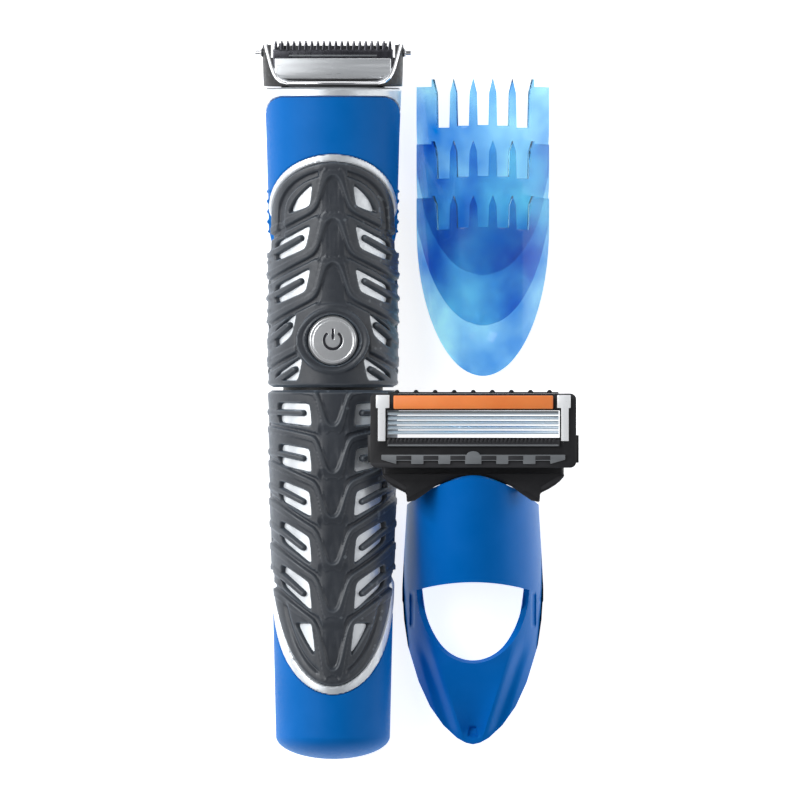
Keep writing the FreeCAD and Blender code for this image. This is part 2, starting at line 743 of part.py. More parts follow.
def comb_slots(tooth):
    """Gaps that widen towards the tips, leaving pointed teeth."""
    pitch = size("comb_tooth_pitch")
    root_half = size("comb_slot_width") / 2
    slots = []
    for number in range(-2, 3):
        x = number * pitch
        drop = 0.12 * number * number
        slots.append(prism([(x - root_half, -drop), (x + root_half, -drop),
                            (x + root_half + 0.15, tooth * 0.7), (x + pitch / 2, tooth + 0.3),
                            (x - pitch / 2, tooth + 0.3),
                            (x - root_half - 0.15, tooth * 0.7)], -10, 40))
    return Part.makeCompound(slots)


def make_comb(name, order, tooth, ear):
    """order 0 lies lowest, each next comb is nested above and nearer the tip end."""
    step = size("comb_step")
    slope = size("comb_slope")
    dip = (slope * size("comb_body_length")) ** 2 / (4 * size("comb_height"))
    rise = size("comb_thickness") + size("comb_gap") - slope * step
    body = comb_band().common(comb_outline(tooth, ear)).cut(comb_slots(tooth))
    dimple = Part.makeSphere(6.0, Vector(0, -21.4, size("comb_height") + 2.3))
    body = body.cut(dimple)
    floor = centred_slab(40, -60, 60, -dip, 60)
    if order == 0:
        body = body.common(floor)
    y = size("short_comb_root_y") + (2 - order) * step
    origin = Vector(place("comb_x"), y, dip + order * rise)
    return shaped(name, body, origin)


# ---------------------------------------------------------------- razor adapter

def hood_solid(inset):
    """Long half-oval vault falling towards the adapter's tip."""
    half = size("adapter_half_width") - inset
    height = size("adapter_height") - inset
    start = 4.0
    base = size("adapter_top_z") - size("adapter_height") + start * size("adapter_slope")
    y = size("hood_top_y") + start
    points = []
    for step in range(13):
        angle = math.pi * step / 12
        points.append(Vector(half * math.cos(angle), y, base + height * math.sin(angle)))
    curve = Part.BSplineCurve()
    curve.interpolate(points)
    low = [points[-1], Vector(-half, y, -60), Vector(half, y, -60), points[0]]
    face = Part.Face(Part.Wire([curve.toShape()] + Part.makePolygon(low).Edges))
    length = 62.0
    return face.extrude(Vector(0, -length, -length * size("adapter_slope")))


def adapter_plan():
    """Plan region of the adapter: arched top edge, ellipse-shaped tip."""
    half = size("adapter_half_width") + 0.01
    top = size("hood_top_y")
    wide = size("adapter_wide_y")
    length = wide - size("adapter_tip_y")
    tip = []
    for step in range(13):
        angle = math.pi * step / 12
        tip.append(Vector(half * math.cos(angle), wide - length * math.sin(angle), -5))
    tip_curve = Part.BSplineCurve()
    tip_curve.interpolate(tip)
    corner = top - size("hood_arch_drop")
    arch = Part.Arc(Vector(-half, corner, -5), Vector(0, top, -5), Vector(half, corner, -5))
    left = Part.makeLine(tip[-1], Vector(-half, corner, -5))
    right = Part.makeLine(Vector(half, corner, -5), tip[0])
    face = Part.Face(Part.Wire([tip_curve.toShape(), left, arch.toShape(), right]))
    return face.extrude(Vector(0, 0, 60))


def adapter_window():
    half = size("window_half_width")
    top = size("window_top_y")
    bottom = size("window_bottom_y")
    side_y = top - 3.0
    curve = []
    for step in range(9):
        angle = math.pi * step / 8
        curve.append(Vector(half * math.cos(angle), side_y + (bottom - side_y) * math.sin(angle),
                            -5))
    lower = Part.BSplineCurve()
    lower.interpolate(curve)
    arch = Part.Arc(Vector(-half, top - 1.6, -5), Vector(0, top, -5), Vector(half, top - 1.6, -5))
    left = Part.makeLine(curve[-1], Vector(-half, top - 1.6, -5))
    right = Part.makeLine(Vector(half, top - 1.6, -5), curve[0])
    face = Part.Face(Part.Wire([lower.toShape(), left, arch.toShape(), right]))
    return face.extrude(Vector(0, 0, 60))


def make_adapter_hood():
    shell = hood_solid(0.0).cut(hood_solid(size("adapter_wall")))
    shell = shell.common(adapter_plan()).cut(adapter_window())
    shell = shell.common(centred_slab(40, -80, 0, 0, 60))
    return shaped("adapter_hood", shell, razor_origin())


def make_adapter_dock():
    """Block under the hood with the tongue that the cartridge yoke slides onto."""
    inner = hood_solid(size("adapter_wall") + size("layer_gap"))
    block_solid = centred_slab(13, -31, -24.6, 13, 30).common(inner)
    half = size("tongue_half_width")
    tongue = centred_slab(half, -24.8, -16.2, 15.1, 19.0)
    return shaped("adapter_dock", block_solid.fuse(tongue), razor_origin())


def make_dock_latch():
    item = block("dock_latch", "places.razor_x", "3.6", "-24.55", "8", "14.2", "0.85")
    return node("dock_latch", item)


def make_cartridge_yoke():
    """Connector plate with swept wings, socket and two pivot arms."""
    front = size("yoke_front_y")
    half = size("yoke_half_width")
    gap = size("fit_gap")
    top = size("hood_top_y")
    drop = size("hood_arch_drop")
    rear = [(x, top - drop * (x / size("adapter_half_width")) ** 2 + gap + 0.15)
            for x in (13.2, 9.0, 4.5, 0, -4.5, -9.0, -13.2)]
    outline = [(-18.0, front), (18.0, front), (15.0, front - 1.6), (half, front - 2.6)] + rear
    outline += [(-half, front - 2.6), (-15.0, front - 1.6)]
    outline = [(x, min(y, front)) for x, y in outline]
    plate = prism(outline, 22.9, 25.2)
    tongue = size("tongue_half_width")
    socket = centred_slab(tongue + 0.7, -24.2, front, 14.75 - 0.5, 19.35 + 0.5)
    neck = centred_slab(tongue + 0.7, -15.45, front, 19, 23)
    hollow = centred_slab(tongue + gap, -25, -15.8, 14.75, 19.35)
    latch_slot = centred_slab(2.2, -25, -15.8, 13, 16)
    whole = plate.multiFuse([socket, neck]).cut(hollow).cut(latch_slot)
    arm = size("arm_offset")
    pivot_y = size("pivot_y")
    pivot_z = size("pivot_z")
    for side in (-1, 1):
        x = side * arm
        reach = slab(x - 0.8, x + 0.8, front - 1.0, pivot_y + 1.1, 18.2, 20.3)
        foot = slab(min(x - 0.8, side * tongue), max(x + 0.8, side * tongue),
                    front - 0.6, front, 18.2, 20.3)
        post = slab(x - 0.8, x + 0.8, pivot_y - 1.1, pivot_y + 1.1, 18.3, pivot_z)
        boss = Part.makeCylinder(1.1, 1.6, Vector(x - 0.8, pivot_y, pivot_z), Vector(1, 0, 0))
        inner = x - side * 2.6
        pin = Part.makeCylinder(size("pivot_radius"), 2.6, Vector(min(x, inner), pivot_y, pivot_z),
                                Vector(1, 0, 0))
        whole = whole.multiFuse([reach, foot, post, boss, pin])
    return shaped("cartridge_yoke", whole, razor_origin())


# ---------------------------------------------------------------- cartridge

def make_cartridge_frame():
    half = size("cartridge_half_width")
    low_y = size("cartridge_bottom_y")
    top_y = size("cartridge_top_y")
    low_z = size("cartridge_z")
    high_z = low_z + size("cartridge_depth")
    wall = size("cartridge_wall")
    outer = centred_slab(half, low_y, top_y, low_z, high_z)
    corners = [e for e in outer.Edges if abs(e.tangentAt(0).z) > 0.9]
    outer = outer.makeFillet(wall, corners)
    wings = centred_slab(half + size("wing_step"), low_y + 1, low_y + 6.5, low_z + 0.5, high_z - 1)
    cavity = centred_slab(half - wall, low_y + wall, top_y - wall, low_z - 1, high_z - wall)
    opening = centred_slab(17.2, -7.5, -2.1, low_z, high_z + 1)
    frame = outer.fuse(wings).cut(cavity).cut(opening)
    pivot_y = size("pivot_y")
    pivot_z = size("pivot_z")
    bore = Part.makeCylinder(size("pivot_radius") + size("running_gap"), 40,
                             Vector(-20, pivot_y, pivot_z), Vector(1, 0, 0))
    for side in (-1, 1):
        inner = side * (size("arm_offset") - 0.8 - size("fit_gap"))
        lug = slab(min(inner, inner - side * 1.3), max(inner, inner - side * 1.3),
                   pivot_y - 1.5, pivot_y + 1.4, pivot_z - 1.5, high_z - 0.6)
        frame = frame.fuse(lug.cut(bore))
    return shaped("cartridge_frame", frame, razor_origin())


def make_razor_blade(number):
    """Thin tilted edge set in the cartridge opening."""
    high_z = size("cartridge_z") + size("cartridge_depth")
    centre_y = -2.8 - (number - 1) * size("razor_blade_pitch")
    blade = Part.makeBox(2 * size("razor_blade_half_width"), 0.25, 1.3,
                         Vector(-size("razor_blade_half_width"), -0.12, -1.2))
    origin = razor_origin() + Vector(0, centre_y, high_z + 0.1)
    return shaped("blade_%d" % number, blade, origin, Rotation(Vector(1, 0, 0), 24))


def make_lubricating_strip():
    item = block("lubricating_strip", "places.razor_x", "31.8", "-1.8", "2.7",
                 "dims.cartridge_z + dims.cartridge_depth + 0.01", "0.6")
    return node("lubricating_strip", item)


def make_blade_clip(name, side):
    high_z = size("cartridge_z") + size("cartridge_depth")
    wide = slab(16.7, 19.4, -1.6, 1.0, high_z + 0.01, high_z + 0.4)
    narrow = slab(17.5, 19.0, -8.2, -1.6, high_z + 0.01, high_z + 0.4)
    clip = wide.fuse(narrow)
    if side < 0:
        clip = clip.mirror(Vector(), Vector(1, 0, 0))
    return shaped(name, clip, razor_origin())


def make_fin_guard():
    high_z = size("cartridge_z") + size("cartridge_depth")
    bar = centred_slab(17.2, -9.3, -7.9, high_z + 0.01, high_z + 0.5)
    count = 42
    fins = [slab(-16.9 + 0.8 * n, -16.5 + 0.8 * n, -8.35, -7.6, high_z + 0.2, high_z + 0.7)
            for n in range(count)]
    return shaped("fin_guard", bar.multiFuse(fins), razor_origin())


def make_lower_trim():
    high_z = size("cartridge_z") + size("cartridge_depth")
    band = centred_slab(18.5, -12.6, -10.9, high_z + 0.01, high_z + 0.6)
    recesses = [slab(x - 1.45, x + 1.45, -12.1, -11.3, high_z + 0.3, high_z + 2)
                for x in (-15.2, -9.8, -4.4, 4.4, 9.8, 15.2)]
    return shaped("lower_trim", band.cut(Part.makeCompound(recesses)), razor_origin())


def make_trimmer_guard():
    """Rounded lugs along the cartridge's far edge, over the single trimming blade."""
    top_y = size("cartridge_top_y")
    low_z = size("cartridge_z")
    bar = centred_slab(17.0, top_y + 0.02, top_y + 0.3, low_z + 1.0, low_z + 4.2)
    lugs = [Part.makeCylinder(0.5, 3.2, Vector(3.8 * (n - 4), top_y + 0.25, low_z + 1.0))
            for n in range(9)]
    whole = bar.multiFuse(lugs).cut(centred_slab(40, -10, top_y + 0.02, 0, 60))
    return shaped("trimmer_guard", whole, razor_origin())


def build_handle():
    make_upper_core()
    make_upper_blue_shell()
    make_upper_grip()
    make_inner_frame()
    make_neck_ring()
    make_neck_seal()
    make_battery_cradle()
    make_battery_cell()
    make_positive_contact()
    make_negative_spring()
    make_contact_strip()
    make_circuit_board()
    make_tact_switch()
    make_power_button()
    make_motor_can()
    make_motor_end_cap()
    make_rotor_core()
    make_rotor_shaft()
    make_crank_hub()
    make_head_seat()


def build_cover():
    make_lower_core()
    make_lower_blue_shell()
    make_lower_grip()
    make_end_cap()


def build_head():
    make_head_frame()
    make_head_base()
    make_front_plate()
    make_fixed_blade()
    make_moving_blade()
    make_blade_carrier()
    make_blade_spring()
    make_rear_guard()
    make_comb_pin("comb_pin_right", 1)
    make_comb_pin("comb_pin_left", -1)


def build_combs():
    make_comb("comb_long", 0, size("long_tooth"), size("long_tooth") - 1.5)
    make_comb("comb_medium", 1, size("medium_tooth"), size("medium_tooth") - 0.6)
    make_comb("comb_short", 2, size("short_tooth"), size("short_tooth") - 0.4)


def build_razor():
    make_adapter_hood()
    make_adapter_dock()
    make_dock_latch()
    make_cartridge_yoke()
    make_cartridge_frame()
    for number in range(1, 6):
        make_razor_blade(number)
    make_lubricating_strip()
    make_blade_clip("blade_clip_right", 1)
    make_blade_clip("blade_clip_left", -1)
    make_fin_guard()
    make_lower_trim()
    make_trimmer_guard()


def check_model():
    for item in doc.Objects:
        if "Invalid" in item.State or "Error" in item.State:
            raise RuntimeError("failed: %s %s" % (item.Label, item.State))
    for name, item in nodes.items():
        if item.Shape.isNull() or not item.Shape.isValid():
            raise RuntimeError("bad shape: " + name)


def write_steps():
    os.makedirs("parts", exist_ok=True)
    for name, item in nodes.items():
        item.Shape.exportStep("parts/%s.step" % name)


build_handle()
build_cover()
build_head()
build_combs()
build_razor()
doc.recompute()
check_model()
write_steps()
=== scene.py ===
import json
import math

import bpy
import numpy as np
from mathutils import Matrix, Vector
from bpy.props import FloatProperty, FloatVectorProperty, PointerProperty
from bpy.types import Operator, Panel, PropertyGroup


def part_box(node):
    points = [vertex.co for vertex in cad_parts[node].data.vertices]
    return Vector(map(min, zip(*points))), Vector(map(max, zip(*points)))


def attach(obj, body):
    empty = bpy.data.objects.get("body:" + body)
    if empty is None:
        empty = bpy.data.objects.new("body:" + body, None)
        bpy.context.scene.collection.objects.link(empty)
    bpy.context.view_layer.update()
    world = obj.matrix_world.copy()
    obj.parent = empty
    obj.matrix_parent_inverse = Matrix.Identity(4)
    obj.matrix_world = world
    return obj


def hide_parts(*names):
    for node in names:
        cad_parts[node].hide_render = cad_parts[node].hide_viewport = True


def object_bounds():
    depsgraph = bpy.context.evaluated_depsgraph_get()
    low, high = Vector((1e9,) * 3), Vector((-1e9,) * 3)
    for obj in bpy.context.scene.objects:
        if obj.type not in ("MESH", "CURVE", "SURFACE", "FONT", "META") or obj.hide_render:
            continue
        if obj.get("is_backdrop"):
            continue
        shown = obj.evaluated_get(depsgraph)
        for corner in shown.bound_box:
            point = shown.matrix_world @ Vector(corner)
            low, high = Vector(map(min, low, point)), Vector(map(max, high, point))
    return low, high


bl_info = {
    "name": "Body Groomer Kit",
    "version": (1, 0, 0),
    "blender": (4, 5, 0),
    "location": "View3D > Sidebar > Groomer",
    "description": "Builds the visible pieces of a body groomer kit on its packed frame",
    "category": "Object",
}

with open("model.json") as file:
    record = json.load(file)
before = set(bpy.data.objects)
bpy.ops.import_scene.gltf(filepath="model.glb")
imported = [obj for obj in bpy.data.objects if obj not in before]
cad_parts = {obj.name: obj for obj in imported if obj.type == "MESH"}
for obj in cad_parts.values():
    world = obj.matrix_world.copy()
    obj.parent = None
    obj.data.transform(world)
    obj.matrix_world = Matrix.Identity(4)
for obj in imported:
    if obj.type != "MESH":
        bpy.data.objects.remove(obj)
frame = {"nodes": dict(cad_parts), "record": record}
CAD_BOX = [list(corner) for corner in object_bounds()]
MM = 0.001


def box_mm(node):
    """Lowest and highest corner of a frame node, in millimetres."""
    low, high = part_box(node)
    return np.array(low) / MM, np.array(high) / MM


CELL_LOW, CELL_HIGH = box_mm("battery_cell")
HANDLE_X = float(CELL_LOW[0] + CELL_HIGH[0]) / 2
HANDLE_Z = float(CELL_LOW[2] + CELL_HIGH[2]) / 2
CORE_TOP = float(box_mm("upper_core")[1][1])
UPPER_LOW = float(box_mm("upper_grip")[0][1])
COVER_TOP = float(box_mm("lower_grip")[1][1])
CAP_LOW = float(box_mm("end_cap")[0][1])
CAP_HIGH = float(box_mm("end_cap")[1][1])
BLADE_TIP = float(box_mm("fixed_blade")[1][1])
BUTTON_LOW, BUTTON_HIGH = box_mm("power_button")
BUTTON_Y = float(BUTTON_LOW[1] + BUTTON_HIGH[1]) / 2
CARTRIDGE_LOW, CARTRIDGE_HIGH = box_mm("cartridge_frame")
RAZOR_X = float(CARTRIDGE_LOW[0] + CARTRIDGE_HIGH[0]) / 2
SLOTS = {row["node"]: row["material_slot"] for row in frame["record"]["subparts"]}

# Sizes shared by several pieces, in millimetres.
HALF_DEPTH = 12.0
SUNK = 1.25
CORE_WALL = 2.5
SKIN_WALL = 1.3
FRONT_DETAIL = 44.0
BACK_COLUMNS = 30
DOME_ROWS = 30
SENSOR = 36
CAMERA_X = -3.3


# ------------------------------------------------------------------ settings

class HandleSettings(PropertyGroup):
    rib_height: FloatProperty(name="Rib Height", description="How far the grip's ribs stand up",
                              default=0.0004, unit="LENGTH")
    groove_depth: FloatProperty(name="Groove Depth", description="Depth of the recesses between ribs",
                                default=0.00058, unit="LENGTH")
    grid_spacing: FloatProperty(name="Detail Spacing", description="Spacing of the moulded detail",
                                default=0.00018, unit="LENGTH")


class ColourSettings(PropertyGroup):
    body_blue: FloatVectorProperty(name="Body Blue", description="Colour of the handle shells",
                                   subtype="COLOR", size=3, default=(0.0, 0.135, 0.48))
    grip: FloatVectorProperty(name="Grip", description="Colour of the rubber grip",
                              subtype="COLOR", size=3, default=(0.03, 0.034, 0.042))
    adapter_blue: FloatVectorProperty(name="Adapter Blue", description="Colour of the razor adapter",
                                      subtype="COLOR", size=3, default=(0.0, 0.14, 0.53))
    comb_blue: FloatVectorProperty(name="Comb Blue", description="Tint of the clear guide combs",
                                   subtype="COLOR", size=3, default=(0.2, 0.62, 1.0))
    strip_orange: FloatVectorProperty(name="Strip Orange", description="Colour of the lubricating strip",
                                      subtype="COLOR", size=3, default=(1.0, 0.26, 0.06))


class StageSettings(PropertyGroup):
    view_width: FloatProperty(name="View Width", description="Width seen at the table",
                              default=0.16, unit="LENGTH")
    camera_height: FloatProperty(name="Camera Height", description="Height of the camera",
                                 default=4.0, unit="LENGTH")


# ------------------------------------------------------------------ mesh helpers

def deselect():
    if bpy.context.mode != "OBJECT":
        bpy.ops.object.mode_set(mode="OBJECT")
    bpy.ops.object.select_all(action="DESELECT")


def activate(piece):
    deselect()
    piece.select_set(True)
    bpy.context.view_layer.objects.active = piece


def edit_all(piece):
    """Opens a piece for editing with everything in it selected."""
    activate(piece)
    bpy.ops.object.mode_set(mode="EDIT")
    bpy.ops.mesh.select_all(action="SELECT")


def select_open_edges():
    bpy.ops.mesh.select_mode(type="EDGE")
    bpy.ops.mesh.select_all(action="DESELECT")
    bpy.ops.mesh.select_non_manifold()


def close_edit():
    """Turns every face outwards and leaves edit mode."""
    bpy.ops.mesh.select_all(action="SELECT")
    bpy.ops.mesh.normals_make_consistent(inside=False)
    bpy.ops.object.mode_set(mode="OBJECT")


def shade(piece, angle):
    """Smooths the shading over edges flatter than an angle in degrees."""
    activate(piece)
    bpy.ops.object.shade_smooth_by_angle(angle=math.radians(angle))


def make_grid(columns, rows):
    """Flat grid from -1 to 1 each way, with its vertices' places."""
    deselect()
    bpy.ops.mesh.primitive_grid_add(x_subdivisions=columns, y_subdivisions=rows, size=2)
    piece = bpy.context.object
    return piece, vertex_array(piece.data)


def place_grid(piece, x, y, z):
    """Puts a grid's vertices at places given in millimetres."""
    store_vertices(piece.data, np.stack([x * MM, y * MM, z * MM], axis=1))


def thicken(piece, thickness):
    """Gives a sheet a wall on its inner side, in millimetres."""
    activate(piece)
    wall = piece.modifiers.new("wall", "SOLIDIFY")
    wall.thickness = thickness * MM
    wall.offset = -1
    bpy.ops.object.modifier_apply(modifier=wall.name)


def finish_piece(piece, name, body, slot, finish="", nodes=()):
    """Names a piece, gives it its finish, else its slot's, and fixes it to its body."""
    piece.name = name
    piece.data.name = name
    piece.data.materials.clear()
    piece.data.materials.append(MATERIALS[finish or slot])
    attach(piece, body)
    if nodes:
        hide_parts(*nodes)


def round_edges(piece, width, segments=3, angle=35):
    """Bevels the sharp edges of a piece and smooths its shading."""
    activate(piece)
    bevel = piece.modifiers.new("edge_round", "BEVEL")
    bevel.width = width
    bevel.segments = segments
    bevel.limit_method = "ANGLE"
    bevel.angle_limit = math.radians(angle)
    bpy.ops.object.modifier_apply(modifier=bevel.name)
    shade(piece, 40)


def make_block(low, high, width=0.15, segments=3):
    """Rounded block between two corners given in millimetres."""
    deselect()
    low = np.array(low, float) * MM
    high = np.array(high, float) * MM
    bpy.ops.mesh.primitive_cube_add(size=1, location=tuple((low + high) / 2))
    piece = bpy.context.object
    piece.scale = tuple(high - low)
    bpy.ops.object.transform_apply(location=True, rotation=True, scale=True)
    round_edges(piece, width * MM, segments)
    return piece


def make_stem(radius, x, y, low_z, high_z):
    """Upright rounded rod, in millimetres."""
    deselect()
    bpy.ops.mesh.primitive_cylinder_add(vertices=48, radius=radius * MM,
                                        depth=(high_z - low_z) * MM,
                                        location=(x * MM, y * MM, (low_z + high_z) / 2 * MM))
    piece = bpy.context.object
    bpy.ops.object.transform_apply(location=True, rotation=True, scale=True)
    round_edges(piece, 0.1 * MM)
    return piece


def make_prism(points, low_z, high_z, width=0.15, segments=3):
    """Plan outline in millimetres raised between two heights, with rounded edges."""
    deselect()
    mesh = bpy.data.meshes.new("outline")
    mesh.from_pydata([(x * MM, y * MM, low_z * MM) for x, y in points], [],
                     [list(range(len(points)))])
    piece = bpy.data.objects.new("outline", mesh)
    bpy.context.scene.collection.objects.link(piece)
    edit_all(piece)
    bpy.ops.mesh.extrude_region_move(
        TRANSFORM_OT_translate={"value": (0, 0, (high_z - low_z) * MM)})
    close_edit()
    round_edges(piece, width * MM, segments)
    return piece


def join_pieces(pieces):
    deselect()
    for piece in pieces:
        piece.select_set(True)
    bpy.context.view_layer.objects.active = pieces[0]
    bpy.ops.object.join()
    return bpy.context.view_layer.objects.active


def vertex_array(mesh):
    coords = np.empty(len(mesh.vertices) * 3)
    mesh.vertices.foreach_get("co", coords)
    return coords.reshape(-1, 3)


def store_vertices(mesh, coords):
    mesh.vertices.foreach_set("co", np.ascontiguousarray(coords, float).ravel())
    mesh.update()


def refined_copy(node, width):
    """A frame node's shape with its doubles merged, flat faces joined and edges rounded."""
    source = frame["nodes"][node]
    piece = bpy.data.objects.new(node + "_fine", source.data.copy())
    bpy.context.scene.collection.objects.link(piece)
    edit_all(piece)
    bpy.ops.mesh.remove_doubles(threshold=2e-6)
    bpy.ops.mesh.dissolve_limited(angle_limit=math.radians(0.5))
    bpy.ops.object.mode_set(mode="OBJECT")
    round_edges(piece, width * MM, segments=2, angle=30)
    return piece


def step_up(low, high, value):
    """Smooth rise from 0 at low to 1 at high."""
    t = np.clip((value - low) / (high - low), 0.0, 1.0)
    return t * t * (3 - 2 * t)


def bump(value, half_width, soft):
    """1 within half_width of zero, falling smoothly to 0 over soft."""
    return 1 - step_up(half_width - soft / 2, half_width + soft / 2, np.abs(value))


# ------------------------------------------------------------------ handle surface

def half_width(y):
    """Half width of the handle along its length, in millimetres."""
    places = np.array([-72.0, -67.2, -52.0, -34.2, -20.0, 2.0, 37.7, 52.7, 62.4, 70.0])
    widths = np.array([11.35, 11.4, 11.75, 12.2, 12.55, 12.9, 12.9, 13.3, 13.7, 14.1])
    return np.interp(y, places, widths)


def oval_distance(x, rise, wide, tall):
    """Distance inside an oval from its centre's offsets, negative outside."""
    r = np.sqrt((x / wide) ** 2 + (rise / tall) ** 2) + 1e-9
    slope = np.sqrt((x / wide ** 2) ** 2 + (rise / tall ** 2) ** 2) / r + 1e-9
    return (1 - r) / slope


def upper_arch_distance(x, y):
    """Distance inside the upper grip's arched border, negative outside."""
    centre, wide, tall = 37.7, 12.4, 9.9
    ax = np.abs(x)
    limit = wide + (centre - y) * 0.035
    return np.where(y > centre, oval_distance(ax, y - centre, wide, tall),
                    np.maximum(limit - ax, 29.8 - y))


def lower_arch_distance(x, y):
    """Distance inside the lower grip's arched border, negative outside."""
    centre, wide, tall = -34.2, 12.0, 23.0
    ax = np.abs(x)
    return np.where(y < centre, oval_distance(ax, y - centre, wide, tall),
                    np.maximum(wide - ax, y - centre))


def upper_rim_width(y):
    return 0.2 + 1.15 * step_up(36.0, 49.0, y)


def lower_rim_width(y):
    return 0.3 + 1.2 * step_up(-36.0, -56.0, y)


def polygon_distance(x, y, corners):
    """Rounded distance to a convex outline, corners anticlockwise, negative inside."""
    total = np.zeros_like(x)
    sharp = 3.2
    count = len(corners)
    for i in range(count):
        ax, ay = corners[i]
        bx, by = corners[(i + 1) % count]
        length = math.hypot(bx - ax, by - ay)
        nx, ny = (by - ay) / length, -(bx - ax) / length
        total = total + np.exp(sharp * ((x - ax) * nx + (y - ay) * ny))
    return np.log(total) / sharp


def capsule_distance(x, y, start, end, radius):
    dx, dy = end[0] - start[0], end[1] - start[1]
    along = np.clip(((x - start[0]) * dx + (y - start[1]) * dy) / (dx * dx + dy * dy), 0, 1)
    return np.hypot(x - start[0] - along * dx, y - start[1] - along * dy) - radius


FAR = 9.0
TONGUE_SHARE = 0.62
FINGER_SHARE = 0.8
WINDOW_DEPTH = 1.2
SLOPE_STEP = 0.05
UPPER_ROWS = (45.0, 36.4, 27.6, 18.8)
LOWER_ROWS = (-5.3, -14.6, -23.5, -32.9, -42.3, -54.0)
LOWER_RISES = (0.0, 1.2, 3.2, 5.0, 5.6, 5.8)
BELL_X = (0, 0.9, 1.6, 2.1, 2.6, 3.1, 3.8, 5.0, 7.0, 9.0, 11.0, 13.5)
BELL_DROP = (0, 0.35, 1.3, 2.9, 4.7, 6.1, 7.1, 7.9, 8.9, 9.9, 11.0, 12.6)
CUP_X = (0, 0.8, 1.4, 1.9, 2.4, 2.9, 3.6, 5.0, 7.0, 9.0, 11.0, 13.5)
CUP_RISE = (0, 0.25, 1.2, 2.9, 4.7, 6.1, 7.2, 7.5, 7.7, 7.8, 7.9, 8.0)


def smooth_curve(ax, stations, values):
    """Rounded line through stations, sampled by averaging over a short span."""
    total = np.zeros_like(ax)
    spans = (-0.45, -0.22, 0.0, 0.22, 0.45)
    for shift in spans:
        total = total + np.interp(np.abs(ax + shift), stations, values)
    return total / len(spans)


def upper_crest(ax, apex):
    return apex - smooth_curve(ax, BELL_X, BELL_DROP)


def lower_crest(ax, bottom, row):
    rise = np.array(CUP_RISE, float)
    if row == 5:
        rise = rise * 1.38
    extra = LOWER_RISES[row] * np.clip((ax - 3.4) / 8.6, 0, 2) ** 1.25
    return bottom + smooth_curve(ax, CUP_X, rise) + extra


def crest_profile(offset, scale):
    """Rib shape across its line: steep on the recessed side, easy on the other."""
    rise = step_up(-0.16, 0.06, offset)
    ridge = 0.72 * (1 - step_up(0.9, 1.15, offset)) + 0.28 * bump(offset - 1.05, 0.1, 0.16)
    panel = 0.42 * (1 - step_up(1.2, 5.5, offset))
    recess = bump(offset + 0.58 * scale, 0.42 * scale, 0.22)
    return rise * np.maximum(ridge, panel), recess


def plain_pattern(x):
    """Start of a pattern: no rib, no recess and every window far away."""
    return np.zeros_like(x), np.zeros_like(x), np.full_like(x, FAR)


def upper_pattern(x, y):
    """Grip relief of the upper half: (rib amount, recess amount, window distance)."""
    ax = np.abs(x)
    rib, recess, window = plain_pattern(x)
    near_button = np.hypot(x, y - BUTTON_Y)
    for row, apex in enumerate(UPPER_ROWS):
        crest = upper_crest(ax, apex)
        lead = (upper_crest(ax + SLOPE_STEP, apex) - crest) / SLOPE_STEP
        offset = (y - crest) / np.sqrt(1 + lead ** 2)
        band, dark = crest_profile(offset, 1.0)
        keep = np.ones_like(x)
        if row >= 3:
            keep = step_up(6.9, 7.6, ax)
        outer = step_up(1.4, 3.0, ax)
        rib = np.maximum(rib, band * keep)
        recess = np.maximum(recess, dark * keep * outer * 0.9)
        tongue = step_up(0.1, 0.6, -offset) * (1 - step_up(2.4, 3.4, ax))
        tongue = tongue * step_up(apex - 9.4, apex - 8.0, y)
        recess = np.maximum(recess, TONGUE_SHARE * tongue * keep)
        inner = (4.65, 4.65, 7.4, 6.2)[row]
        corners = [(inner, apex - 10.1), (inner + 0.9, apex - 14.7), (11.4, apex - 17.2),
                   (11.4, apex - 13.5)]
        hole = polygon_distance(ax, y, corners)
        finger = capsule_distance(ax, y, (max(6.7, inner + 1.7), apex - 12.7),
                                  (13.5, apex - 16.4), 0.62)
        hole = np.maximum(hole, -finger)
        limit = UPPER_LOW + 1.4
        window = np.minimum(window, np.where(y > limit, hole, FAR))
        knuckle = FINGER_SHARE * (1 - step_up(-0.35, 0.25, finger))
        rib = np.maximum(rib, knuckle * step_up(limit, limit + 1, y))
    first = polygon_distance(ax, y, [(4.2, 43.2), (4.75, 38.7), (8.9, 37.2), (7.6, 40.3)])
    window = np.minimum(window, first)
    border = upper_arch_distance(x, y)
    slot = bump(border - 2.2, 0.6, 0.25) * step_up(2.7, 3.0, ax) * step_up(31.6, 33.2, y)
    recess = np.maximum(recess, slot)
    clear = step_up(7.0, 7.7, near_button)
    return rib * clear, recess * clear, np.maximum(window, 7.6 - near_button)


